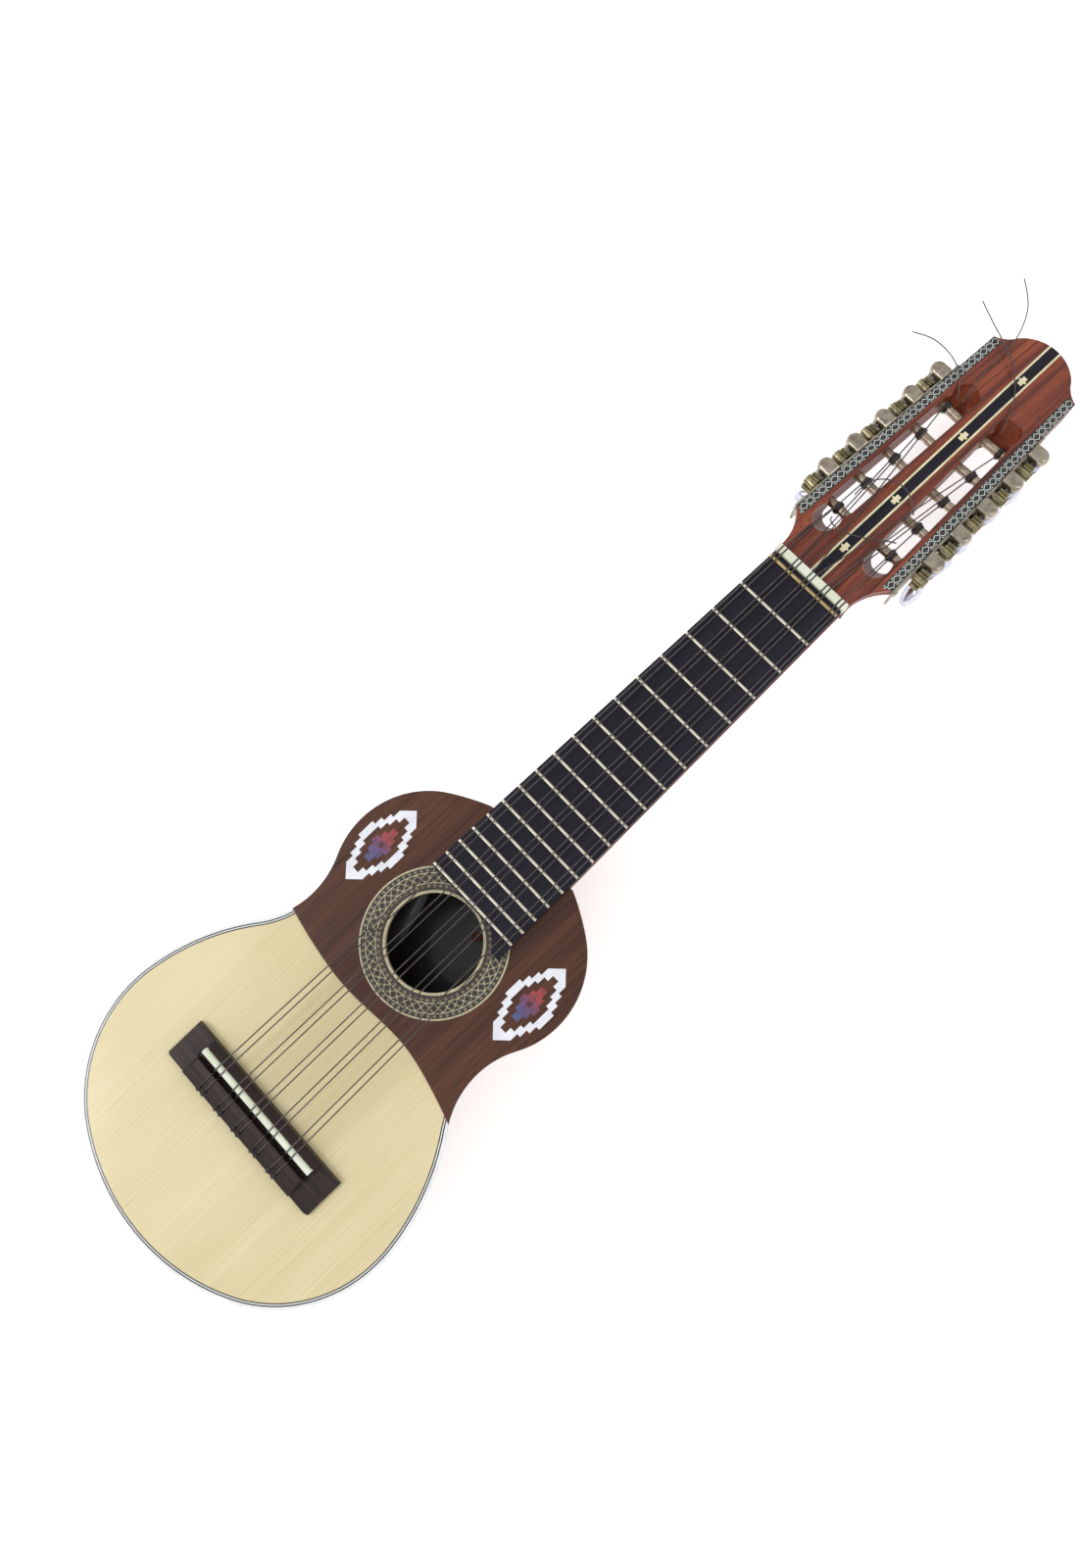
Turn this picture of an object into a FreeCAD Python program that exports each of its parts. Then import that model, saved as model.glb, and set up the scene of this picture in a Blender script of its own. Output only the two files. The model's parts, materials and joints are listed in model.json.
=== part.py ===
"""Charango: a ten-string carved lute, lying on its back.

Frame: origin in the flat rest face of the back, +X towards the head, +Y towards the bass side, +Z up.
Head parts are drawn in the head's own frame: its x runs along the face from the nut, z is the face's normal.
"""
import FreeCAD, Part
import math
import os

Vector = FreeCAD.Vector
Placement = FreeCAD.Placement
Rotation = FreeCAD.Rotation

DIMENSIONS = {
    # lengths along the instrument, from the zero fret
    "scale_length": 370.0,
    "fret_datum": 320.0,
    "tail_distance": 465.2,
    "neck_joint_distance": 191.0,
    "soundhole_distance": 259.0,
    "board_end_distance": 233.0,
    "bridge_front_distance": 371.5,
    # heights above the rest face
    "rim_height": 69.5,
    "top_height": 72.0,
    "plate_height": 73.0,
    "board_top": 77.5,
    "head_face_height": 74.6,
    # body outline: radius of each tangent arc from the tail to the neck
    "tail_radius": 114.1,
    "bout_radius": 76.0,
    "flank_radius": 124.5,
    "waist_radius": 48.5,
    "shoulder_radius": 49.0,
    "joint_radius": 132.2,
    # shell
    "wall": 11.0,
    "back_thickness": 11.0,
    "back_inset": 34.0,
    "heel_block": 30.0,
    "binding_width": 1.5,
    "line_width": 0.6,
    "inlay_depth": 0.6,
    "plate_edge_radius": 0.8,
    # rosette
    "soundhole_radius": 24.9,
    "ring_radius": 26.3,
    "rosette_radius": 38.5,
    # bridge
    "bridge_length": 107.0,
    "bridge_width": 22.0,
    "wing_height": 4.0,
    "block_length": 81.0,
    "tie_block_width": 11.0,
    "tie_block_height": 8.0,
    "saddle_width": 3.4,
    "saddle_height": 10.0,
    "tie_hole_radius": 0.7,
    # neck and board
    "nut_half_width": 23.0,
    "twelfth_half_width": 27.5,
    "neck_depth": 18.0,
    "nut_thickness": 4.3,
    "nut_top": 79.9,
    "fret_width": 1.8,
    "fret_crown": 1.0,
    # head
    "head_tilt": 6.0,
    "head_length": 186.8,
    "head_thickness": 16.0,
    "veneer": 2.0,
    "head_wide": 33.1,
    "head_narrow": 28.3,
    "head_widest_at": 23.0,
    "head_corner_at": 169.5,
    "head_lip": 5.0,
    "flare_delay": 16.0,
    "cheek": 8.0,
    "slot_width": 14.0,
    "slot_start": 33.0,
    "slot_end": 129.0,
    "ramp_run": 13.0,
    "far_ramp_run": 10.0,
    "strip_width": 5.3,
    "stripe_width": 5.6,
    "stripe_line": 1.1,
    # tuning machines
    "roller_pitch": 21.0,
    "first_roller_at": 41.0,
    "roller_depth": 7.5,
    "roller_radius": 2.5,
    "gear_teeth": 14,
    "gear_module": 0.7,
    "gear_width": 5.4,
    "gear_offset": 5.5,
    "worm_distance": 8.7,
    "worm_root_radius": 3.0,
    "worm_tip_radius": 4.1,
    "shaft_radius": 1.7,
    "running_gap": 0.05,
    "plate_thickness": 1.2,
    "plate_depth": 15.0,
    "plate_start": 22.5,
    "plate_end": 144.0,
    "button_half_length": 9.5,
    "button_half_height": 7.5,
    "button_half_width": 4.5,
    "button_depth": 38.0,
    # strings
    "string_radius": 0.35,
    "saddle_course_step": 13.4,
    "saddle_pair_gap": 3.6,
    "nut_course_step": 10.0,
    "nut_pair_gap": 2.4,
}

doc = FreeCAD.newDocument("charango")
sheet = doc.addObject("Spreadsheet::Sheet", "dimensions")
for line, (alias, number) in enumerate(DIMENSIONS.items(), start=1):
    sheet.set("A%d" % line, alias)
    sheet.set("B%d" % line, str(number))
    sheet.setAlias("B%d" % line, alias)
doc.recompute()


def dim(alias):
    return float(sheet.get(alias))


NODES = []
DATUM = dim("fret_datum")
JOINT_X = DATUM - dim("neck_joint_distance")
HOLE_X = DATUM - dim("soundhole_distance")
BRIDGE_FRONT = DATUM - dim("bridge_front_distance")
BRIDGE_BACK = BRIDGE_FRONT - dim("bridge_width")
SADDLE_X = BRIDGE_FRONT - 5.7
RIM = dim("rim_height")
TOP = dim("top_height")
PLATE = dim("plate_height")
BOARD_TOP = dim("board_top")
HEAD_START = DATUM + 8.2
HEAD = Placement(
    Vector(HEAD_START, 0, dim("head_face_height")), Rotation(Vector(0, 1, 0), dim("head_tilt"))
)
SIDE_SLOPE = (dim("head_wide") - dim("head_narrow")) / (dim("head_corner_at") - dim("head_widest_at"))
SIDE_ANGLE = math.degrees(math.atan(SIDE_SLOPE))


# ---------------------------------------------------------------- helpers

def node(thing, name):
    """Name a finished sub-part and keep it for export."""
    thing.Label = name
    NODES.append(thing)
    return thing


def feature(shape, name, placement=None):
    """A sub-part whose shape is worked out here."""
    thing = doc.addObject("Part::Feature", name)
    thing.Shape = shape
    if placement is not None:
        thing.Placement = placement
    return node(thing, name)


def new_body(name, placement=None):
    body = doc.addObject("PartDesign::Body", name)
    if placement is not None:
        body.Placement = placement
    return node(body, name)


def sketch(body, name, geometry, plane="XY_Plane", offset=None):
    """Sketch on one of the body's own origin planes, moved by an offset placement."""
    drawing = body.newObject("Sketcher::SketchObject", name)
    support = [item for item in body.Origin.OriginFeatures if item.Role == plane][0]
    drawing.AttachmentSupport = (support, [""])
    drawing.MapMode = "FlatFace"
    if offset is not None:
        drawing.AttachmentOffset = offset
    drawing.addGeometry(geometry, False)
    return drawing


def at_height(z):
    return Placement(Vector(0, 0, z), Rotation())


def pad(body, name, geometry, base_z, length, midplane=False, plane="XY_Plane", offset=None):
    """Pad upwards from a height; length is a number or an expression over the sheet."""
    drawing = sketch(body, name + "_outline", geometry, plane, offset or at_height(base_z))
    item = body.newObject("PartDesign::Pad", name)
    item.Profile = drawing
    if isinstance(length, str):
        item.setExpression("Length", length)
    else:
        item.Length = length
    item.Midplane = midplane
    drawing.Visibility = False
    return item


def pocket(body, name, geometry, top_z, depth, offset=None, plane="XY_Plane", midplane=False):
    """Pocket downwards from a height, checked to remove material."""
    doc.recompute()
    before = body.Shape.Volume
    drawing = sketch(body, name + "_outline", geometry, plane, offset or at_height(top_z))
    item = body.newObject("PartDesign::Pocket", name)
    item.Profile = drawing
    if isinstance(depth, str):
        item.setExpression("Length", depth)
    else:
        item.Length = depth
    item.Midplane = midplane
    doc.recompute()
    if body.Shape.Volume >= before - 1e-6:
        raise RuntimeError(name + " cuts nothing")
    return item


def flat(points):
    return [Vector(x, y, 0) for x, y in points]


def polygon(points):
    """Closed run of straight lines."""
    corners = flat(points)
    return [Part.LineSegment(a, b) for a, b in zip(corners, corners[1:] + corners[:1])]


def rectangle(x_low, y_low, x_high, y_high):
    return polygon([(x_low, y_low), (x_high, y_low), (x_high, y_high), (x_low, y_high)])


def sorted_edges(edges):
    """Edges of one closed run, in order."""
    return Part.sortEdges(edges)[0]


def circle(x, y, radius):
    return Part.Circle(Vector(x, y, 0), Vector(0, 0, 1), radius)


def arc3(a, b, c):
    return Part.Arc(*flat([a, b, c]))


def line2(a, b):
    return Part.LineSegment(*flat([a, b]))


def tube(points, radius, bends=None):
    """Round rod along straight runs joined by tangent arcs, with the arc radii used."""
    points = [Vector(p) for p in points]
    edges = []
    radii = []
    cursor = points[0]
    for index in range(1, len(points) - 1):
        before = points[index - 1] - points[index]
        after = points[index + 1] - points[index]
        turn = math.pi - before.getAngle(after)
        run = min(before.Length, after.Length)
        bend = bends[index - 1] if bends else 0.45 * run / math.tan(turn / 2)
        cut = bend * math.tan(turn / 2)
        start = points[index] + before.normalize() * cut
        end = points[index] + after.normalize() * cut
        inward = (before + after).normalize()
        middle = points[index] + inward * (bend / math.cos(turn / 2) - bend)
        edges.append(Part.LineSegment(cursor, start).toShape())
        edges.append(Part.Arc(start, middle, end).toShape())
        radii.append(bend)
        cursor = end
    edges.append(Part.LineSegment(cursor, points[-1]).toShape())
    path = Part.Wire(edges)
    ring = Part.Wire([Part.Circle(points[0], points[1] - points[0], radius).toShape()])
    rod = path.makePipeShell([ring], True, False)
    expected = math.pi * radius ** 2 * path.Length
    if abs(rod.Volume - expected) > 0.02 * expected:
        raise RuntimeError("tube volume %.2f, expected %.2f" % (rod.Volume, expected))
    return rod, path.Length, radii


# ---------------------------------------------------------------- body outline

# (sheet alias of the radius, sweep in degrees); a negative sweep bulges outwards
OUTLINE = [
    ("tail_radius", -29.9),
    ("bout_radius", -67.1),
    ("flank_radius", -29.3),
    ("waist_radius", 63.5),
    ("shoulder_radius", -83.8),
    ("joint_radius", -10.1),
]


def half_outline(inset, stop_x=JOINT_X, start_x=None):
    """Bass half of the body outline as (start, middle, end) of each tangent arc, moved in by inset."""
    x, y = DATUM - dim("tail_distance") + inset, 0.0
    heading = math.pi / 2
    arcs = []
    for alias, sweep_degrees in OUTLINE:
        bulge = -1.0 if sweep_degrees < 0 else 1.0
        radius = dim(alias) + bulge * inset
        sweep = math.radians(sweep_degrees)
        centre_x = x - bulge * radius * math.sin(heading)
        centre_y = y + bulge * radius * math.cos(heading)

        def point(turned):
            angle = heading + turned
            return (centre_x + bulge * radius * math.sin(angle), centre_y - bulge * radius * math.cos(angle))

        first, last = 0.0, sweep
        if start_x is not None and point(last)[0] > start_x > x:
            first = turn_to(point, start_x, 0.0, sweep)
        if point(last)[0] > stop_x:
            last = turn_to(point, stop_x, 0.0, sweep)
        if start_x is None or point(last)[0] > start_x:
            arcs.append((point(first), point((first + last) / 2), point(last)))
        if last != sweep:
            break
        x, y = point(sweep)
        heading += sweep
    return arcs


def turn_to(point, target_x, low, high):
    """Turn along an arc at which it reaches a given x."""
    for _ in range(60):
        middle = (low + high) / 2
        if point(middle)[0] < target_x:
            low = middle
        else:
            high = middle
    return (low + high) / 2


def mirrored(arcs):
    return [tuple((x, -y) for x, y in arc) for arc in arcs]


def closed_outline(inset, stop_x=JOINT_X):
    """Whole outline, closed by a straight end at stop_x."""
    bass = half_outline(inset, stop_x)
    end = bass[-1][2]
    curves = [arc3(*arc) for arc in bass + mirrored(bass)]
    return curves + [line2(end, (end[0], -end[1]))]


def band(outer_inset, inner_inset):
    """Strip that follows the outline from neck joint to neck joint."""
    outer = half_outline(outer_inset)
    inner = half_outline(inner_inset)
    curves = [arc3(*arc) for arc in outer + mirrored(outer) + inner + mirrored(inner)]
    for side in (1, -1):
        a, b = outer[-1][2], inner[-1][2]
        curves.append(line2((a[0], side * a[1]), (b[0], side * b[1])))
    return curves


def rounded_outline(inset):
    """Outline closed by a nose arc tangent to both sides, for shapes that are rounded all round."""
    bass = half_outline(inset)
    ex, ey = bass[-1][2]
    radius = dim(OUTLINE[-1][0]) - inset
    centre = circle_centre(bass[-1], radius)
    nose_radius = ey * radius / (ey - centre[1])
    nose_centre = ex - (ex - centre[0]) * nose_radius / radius
    nose = arc3((ex, ey), (nose_centre + nose_radius, 0.0), (ex, -ey))
    return [arc3(*arc) for arc in bass + mirrored(bass)] + [nose]


def circle_centre(arc, radius):
    """Centre of an outward arc of known radius, on the body's side of it."""
    (ax, ay), _, (bx, by) = arc
    half = math.hypot(bx - ax, by - ay) / 2
    away = math.sqrt(radius ** 2 - half ** 2)
    ux, uy = (bx - ax) / (2 * half), (by - ay) / (2 * half)
    return ((ax + bx) / 2 + uy * away, (ay + by) / 2 - ux * away)


def dress(body, kind, name, edges):
    """Fillet or chamfer on named edges of the body's last feature."""
    base = body.Tip
    item = body.newObject("PartDesign::" + kind, name)
    item.Base = (base, edges)
    return item


# cross-sections of the bowl: share of its depth, and share of the inset of its back
BOWL = [(0.0, 1.0), (0.06, 0.74), (0.18, 0.5), (0.38, 0.29), (0.65, 0.14), (1.0, 0.0)]


def bowl(name, inset, base_z, end_x):
    """Solid bowl that narrows downwards in a curve, cut off square at the neck end."""
    body = new_body(name)
    NODES.remove(body)
    depth = RIM - base_z
    sections = []
    for number, (height_share, inset_share) in enumerate(BOWL):
        outline = rounded_outline(inset + inset_share * dim("back_inset") * depth / RIM)
        place = at_height(base_z + height_share * depth)
        sections.append(sketch(body, "%s_section_%d" % (name, number), outline, "XY_Plane", place))
    doc.recompute()
    loft(body, name + "_block", sections)
    pocket(body, name + "_end", rectangle(end_x, -80.0, end_x + 60.0, 80.0), RIM, 80.0)
    return body


# (height, half width at the body, length) of the heel
HEEL = [(0.0, 15.0, 25.0), (30.0, 18.0, 29.0), (60.0, 24.0, 32.0)]


def make_carved_body():
    """Body carved from one block: walls, rounded back and heel block are one piece."""
    outside = bowl("body_outside", 0.0, 0.0, JOINT_X)
    root = [(-half, z) for z, half, _ in HEEL] + [(-HEEL[-1][1], RIM), (HEEL[-1][1], RIM)]
    root += [(half, z) for z, half, _ in reversed(HEEL)]
    length = dim("heel_block")
    pad(outside, "heel_root", polygon(root), 0, length, plane="YZ_Plane", offset=at_height(JOINT_X - length))
    floor = dim("back_thickness")
    cavity_end = JOINT_X - dim("heel_block")
    inside = bowl("cavity", dim("wall"), floor, cavity_end)
    carved = doc.addObject("Part::Cut", "carved_body")
    carved.Base = outside
    carved.Tool = inside
    node(carved, "carved_body")


def make_top():
    edge = dim("binding_width")
    step = dim("line_width")
    thickness = "dimensions.top_height - dimensions.rim_height"
    board = new_body("soundboard")
    outline = closed_outline(edge + 3 * step)
    pad(board, "panel", outline + [circle(HOLE_X, 0, dim("ring_radius"))], RIM, thickness)

    widths = [("binding", edge), ("outer_line", step), ("pale_line", step), ("inner_line", step)]
    strips = []
    inset = 0.0
    for name, width in widths:
        strip = new_body(name)
        NODES.remove(strip)
        pad(strip, name + "_strip", band(inset, inset + width), RIM, thickness)
        strips.append(strip)
        inset += width
    for name, members in (("edge_binding", strips[0::2]), ("edge_purfling", strips[1::2])):
        group = doc.addObject("Part::Compound", name)
        group.Links = members
        node(group, name)


# ---------------------------------------------------------------- overlay, rosette, inlays

LOZENGE_X = DATUM - 245.2
LOZENGE_Y = 55.0
# corners of one quarter of the stepped frames, from the end towards the side
FRAME_OUTER = [
    (25.0, 0.0), (18.8, 6.2), (14.2, 6.2), (14.2, 8.2), (9.6, 8.2), (9.6, 10.2), (5.0, 10.2), (5.0, 12.2),
]
FRAME_INNER = [
    (18.1, 1.9), (14.5, 1.9), (14.5, 4.4), (10.0, 4.4), (10.0, 6.3), (5.4, 6.3), (5.4, 8.2),
]


def stepped_lozenge(quarter, centre_y):
    """Diamond with stepped sides, mirrored from the corners of one quarter."""
    points = list(quarter)
    points += [(-x, y) for x, y in reversed(quarter)]
    points += [(-x, -y) for x, y in quarter if y]
    points += [(x, -y) for x, y in reversed(quarter) if y]
    return polygon([(LOZENGE_X + x, centre_y + y) for x, y in points])


def lozenge_frame(centre_y):
    return stepped_lozenge(FRAME_OUTER, centre_y) + stepped_lozenge(FRAME_INNER, centre_y)


def tile_block(centre_y, low, high, half):
    return rectangle(LOZENGE_X + low, centre_y - half, LOZENGE_X + high, centre_y + half)


# (low x, high x, half width) of the coloured tiles, from the tail end to the head end
TILES = [(-10.5, -6.3, 2.0), (-6.3, -2.1, 3.8), (-2.1, 2.1, 5.5), (2.1, 6.3, 3.8), (6.3, 10.5, 2.0)]


def overlay_outline():
    """Dark plate over the upper bout: outline of the body, closed by a wavy front edge."""
    bass = half_outline(0.0, start_x=DATUM - 300.0)
    treble = mirrored(half_outline(0.0, start_x=DATUM - 314.0))
    a, b = bass[0][0], treble[0][0]
    wave = [(-304.4, 41.0), (-306.7, 14.0), (-304.4, -27.0), (-308.4, -50.0)]
    front = Part.BSplineCurve()
    front.interpolate(flat([a] + [(DATUM + x, y) for x, y in wave] + [b]))
    end = bass[-1][2]
    return [arc3(*arc) for arc in bass + treble] + [front, line2(end, (end[0], -end[1]))]


def make_overlay():
    height = "dimensions.plate_height - dimensions.top_height"
    plate = new_body("top_overlay")
    opening = circle(HOLE_X, 0, dim("rosette_radius"))
    pad(plate, "plate", overlay_outline() + [opening], TOP, height)
    doc.recompute()
    sides = []
    for number, edge in enumerate(plate.Shape.Edges, start=1):
        box = edge.BoundBox
        on_top = box.ZMin > PLATE - 1e-4
        if on_top and min(abs(box.YMin), abs(box.YMax)) > dim("rosette_radius") and box.XLength > 1.0:
            sides.append("Edge%d" % number)
    dress(plate, "Fillet", "plate_edge", sides).setExpression("Radius", "dimensions.plate_edge_radius")
    doc.recompute()
    frames = []
    tiles = []
    for side in (1, -1):
        centre = side * LOZENGE_Y
        frames.append(lozenge_frame(centre))
        tiles += [tile_block(centre, *tile) for tile in TILES]
    for number, drawing in enumerate(frames + tiles):
        pocket(plate, "inlay_bed_%d" % number, drawing, PLATE, "dimensions.inlay_depth")
    inlay(frames, "lozenge_frames")
    inlay(tiles, "inlay_tiles")

    rings = doc.addObject("Part::Compound", "rosette")
    rings.Links = [
        ring_piece("mosaic_ring", dim("ring_radius"), dim("rosette_radius"), TOP, PLATE),
        ring_piece("soundhole_ring", dim("soundhole_radius"), dim("ring_radius"), RIM, PLATE),
    ]
    node(rings, "rosette")


def inlay(drawings, name):
    """Inlaid pieces, flush with the plate, as one group of separate solids."""
    depth = dim("inlay_depth")
    solids = []
    for drawing in drawings:
        wires = Part.sortEdges([curve.toShape() for curve in drawing])
        face = Part.makeFace([Part.Wire(edges) for edges in wires], "Part::FaceMakerBullseye")
        solids.append(face.extrude(Vector(0, 0, depth)))
    feature(Part.makeCompound(solids), name, at_height(PLATE - depth))


def ring_piece(name, inner, outer, low, high):
    disc = doc.addObject("Part::Cylinder", name + "_disc")
    bore = doc.addObject("Part::Cylinder", name + "_bore")
    for item, radius in ((disc, outer), (bore, inner)):
        item.Radius = radius
        item.Height = high - low
        item.Placement = Placement(Vector(HOLE_X, 0, low), Rotation())
    cut = doc.addObject("Part::Cut", name)
    cut.Base = disc
    cut.Tool = bore
    return cut


# ---------------------------------------------------------------- inside the body

def make_inside():
    """Braces and bridge plate glued under the soundboard, and a small plug in the back."""
    # x, y, length, width, turn of two cross bars and three fan braces
    bars = [
        (HOLE_X + 34.0, 0.0, 6.0, 100.0, 0.0),
        (HOLE_X - 34.0, 0.0, 6.0, 92.0, 0.0),
        (SADDLE_X - 25.0, 0.0, 70.0, 5.0, 0.0),
        (SADDLE_X - 22.0, 32.0, 60.0, 5.0, -12.0),
        (SADDLE_X - 22.0, -32.0, 60.0, 5.0, 12.0),
    ]
    solids = []
    for x, y, length, width, angle in bars:
        bar = Part.makeBox(length, width, 6.0, Vector(-length / 2, -width / 2, -6.0))
        bar.Placement = Placement(Vector(x, y, RIM), Rotation(Vector(0, 0, 1), angle))
        solids.append(bar)
    under = Part.makeBox(24.0, 110.0, 2.0, Vector(SADDLE_X + 14.0, -55.0, RIM - 2.0))
    solids.append(under)
    feature(Part.makeCompound(solids), "top_braces")

    plug = doc.addObject("Part::Cylinder", "back_plug")
    plug.Radius = 3.0
    plug.Height = 1.5
    plug.Placement = Placement(Vector(HOLE_X + 12.0, -6.0, dim("back_thickness")), Rotation())
    node(plug, "back_plug")


# ---------------------------------------------------------------- bridge

def courses(step, gap):
    """Y of the ten strings, bass to treble: five pairs."""
    return [course * step + side * gap / 2 for course in (2, 1, 0, -1, -2) for side in (1, -1)]


SADDLE_Y = courses(dim("saddle_course_step"), dim("saddle_pair_gap"))
NUT_Y = courses(dim("nut_course_step"), dim("nut_pair_gap"))
TIE_HOLE_Z = TOP + 4.2


def make_bridge():
    half = dim("bridge_length") / 2
    core = dim("block_length") / 2
    back_of_groove = BRIDGE_BACK + dim("tie_block_width")
    body = new_body("bridge")
    pad(body, "base", rectangle(BRIDGE_BACK, -half, BRIDGE_FRONT, half), TOP, "dimensions.wing_height")
    pad(body, "block", rectangle(BRIDGE_BACK, -core, BRIDGE_FRONT, core), TOP, "dimensions.tie_block_height")
    groove = rectangle(back_of_groove, -core - 1, SADDLE_X - 1.7, core + 1)
    pocket(body, "string_groove", groove, TOP + dim("tie_block_height"), 4.6)
    peak = TOP + dim("tie_block_height")
    ridge = SADDLE_X + 2.5
    front = [(ridge, peak), (ridge, peak + 2), (BRIDGE_FRONT + 2, peak + 2), (BRIDGE_FRONT, TOP + 4.4)]
    back = [(BRIDGE_BACK + 8, peak), (BRIDGE_BACK + 8, peak + 2), (BRIDGE_BACK - 2, peak + 2)]
    back.append((BRIDGE_BACK, peak - 2.4))
    for name, corners in (("front_slope", front), ("back_slope", back)):
        pocket(body, name, polygon(corners), 0, 4 * core, Placement(), "XZ_Plane", True)
    for name, side in (("bass_bevel", 1), ("treble_bevel", -1)):
        corners = [(core - 1.6, peak), (core - 1.6, peak + 2), (core + 2, peak + 2), (core, peak - 2.2)]
        middle = Placement(Vector(0, 0, (BRIDGE_BACK + BRIDGE_FRONT) / 2), Rotation())
        drawing = polygon([(side * y, z) for y, z in corners])
        pocket(body, name, drawing, 0, 40.0, middle, "YZ_Plane", True)
    slot = rectangle(SADDLE_X - 1.7, -core + 0.5, SADDLE_X + 1.7, core - 0.5)
    pocket(body, "saddle_slot", slot, TOP + dim("tie_block_height"), 5.0)
    holes = [circle(y, TIE_HOLE_Z, dim("tie_hole_radius")) for y in SADDLE_Y]
    through = Placement(Vector(0, 0, BRIDGE_BACK - 1.0), Rotation())
    pocket(body, "tie_holes", holes, 0, 40.0, through, "YZ_Plane", True)
    doc.recompute()
    ends = []
    for number, edge in enumerate(body.Shape.Edges, start=1):
        box = edge.BoundBox
        top_of_wing = abs(box.ZMin - TOP - dim("wing_height")) < 1e-3 and box.ZLength < 1e-3
        if top_of_wing and abs(abs(box.Center.y) - half) < 1e-3:
            ends.append("Edge%d" % number)
    dress(body, "Chamfer", "wing_bevel", ends).Size = 2.2
    doc.recompute()

    saddle = new_body("saddle")
    blank = rectangle(SADDLE_X - 1.7, -core + 0.5, SADDLE_X + 1.7, core - 0.5)
    bottom = TOP + dim("tie_block_height") - 5.0
    pad(saddle, "blank", blank, bottom, dim("saddle_height") + TOP - bottom)
    doc.recompute()
    crown = [
        "Edge%d" % number
        for number, edge in enumerate(saddle.Shape.Edges, start=1)
        if edge.BoundBox.ZMin > TOP + dim("saddle_height") - 1e-3 and edge.BoundBox.YLength > 10
    ]
    dress(saddle, "Fillet", "crown", crown).Radius = 1.3
    doc.recompute()


# ---------------------------------------------------------------- fingerboard, frets, nut

def half_width(distance):
    """Half width of the fingerboard at a distance from the zero fret."""
    nut, twelfth = dim("nut_half_width"), dim("twelfth_half_width")
    return nut + (twelfth - nut) * distance / (dim("scale_length") / 2)


def fret_x(number):
    return DATUM - dim("scale_length") * (1 - 2 ** (-number / 12))


def board_outline():
    """Tapered board; past the last fret its treble corner follows the soundhole."""
    end = dim("board_end_distance")
    tongue = end + 8.5
    bass_end, treble_end = DATUM - end, DATUM - tongue
    reach = 29.6
    meet_y = -math.sqrt(reach ** 2 - (bass_end - HOLE_X) ** 2)
    tongue_y = -math.sqrt(reach ** 2 - (treble_end - HOLE_X) ** 2)
    middle_angle = (math.atan2(meet_y, bass_end - HOLE_X) + math.atan2(tongue_y, treble_end - HOLE_X)) / 2
    middle = (HOLE_X + reach * math.cos(middle_angle), reach * math.sin(middle_angle))
    start = DATUM + 3.4
    return [
        line2((start, half_width(-3.4)), (bass_end, half_width(end))),
        line2((bass_end, half_width(end)), (bass_end, meet_y)),
        arc3((bass_end, meet_y), middle, (treble_end, tongue_y)),
        line2((treble_end, tongue_y), (treble_end, -half_width(tongue))),
        line2((treble_end, -half_width(tongue)), (start, -half_width(-3.4))),
        line2((start, -half_width(-3.4)), (start, half_width(-3.4))),
    ]


def fret_bar(x, width, crown, half):
    """Round-topped fret lying across the board."""
    profile = Part.Wire([
        Part.LineSegment(Vector(x - width / 2, -half, 0), Vector(x + width / 2, -half, 0)).toShape(),
        Part.Arc(
            Vector(x + width / 2, -half, 0), Vector(x, -half, crown), Vector(x - width / 2, -half, 0)
        ).toShape(),
    ])
    return Part.Face(profile).extrude(Vector(0, 2 * half, 0))


def make_board():
    body = new_body("fingerboard")
    pad(body, "board", board_outline(), PLATE, "dimensions.board_top - dimensions.plate_height")
    width, crown = dim("fret_width"), dim("fret_crown")
    bars = []
    for number in range(1, 18):
        x = fret_x(number)
        bars.append(fret_bar(x, width, crown, half_width(DATUM - x) - 0.2))
    feature(Part.makeCompound(bars), "frets", at_height(BOARD_TOP))
    zero = fret_bar(DATUM, width + 0.3, crown + 0.25, half_width(0) - 0.1)
    feature(zero, "zero_fret", at_height(BOARD_TOP))

    nut = new_body("nut")
    nut_x = DATUM + 3.5
    half = dim("nut_half_width") + 0.5
    blank = rectangle(nut_x, -half, nut_x + dim("nut_thickness"), half)
    pad(nut, "blank", blank, PLATE, "dimensions.nut_top - dimensions.plate_height")
    slots = []
    for y in NUT_Y:
        bottom = dim("nut_top") - 1.05
        slots += rectangle(y - 0.45, bottom, y + 0.45, dim("nut_top") + 1.0)
    pocket(nut, "string_slots", slots, 0, 20.0, Placement(Vector(0, 0, nut_x), Rotation()), "YZ_Plane", True)
    doc.recompute()


# ---------------------------------------------------------------- neck and head

def side_y(along):
    """Half width of the head beside its slots."""
    return dim("head_wide") - (along - dim("head_widest_at")) * SIDE_SLOPE


def head_outline(delay=0.0):
    """Plan of the head in its own frame: cheeks that flare after a delay, slight taper, ogee crown."""
    root, length = dim("nut_half_width") + 0.6, dim("head_length")
    start = dim("head_widest_at") + delay
    wide = side_y(start)
    corner = (dim("head_corner_at"), dim("head_narrow"))
    shoulder = (length - 9.0, 18.5)
    hollow = (corner[0] + 3.0, corner[1] - 5.4)
    flare = (start * 0.565, root + 2.6 - delay * 0.2)
    curves = []
    for side in (1, -1):
        curves += [
            arc3((0.0, side * root), (flare[0], side * flare[1]), (start, side * wide)),
            line2((start, side * wide), (corner[0], side * corner[1])),
            arc3(
                (corner[0], side * corner[1]), (hollow[0], side * hollow[1]),
                (shoulder[0], side * shoulder[1]),
            ),
        ]
    curves.append(arc3(shoulder, (length, 0.0), (shoulder[0], -shoulder[1])))
    curves.append(line2((0.0, root), (0.0, -root)))
    return curves


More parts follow.
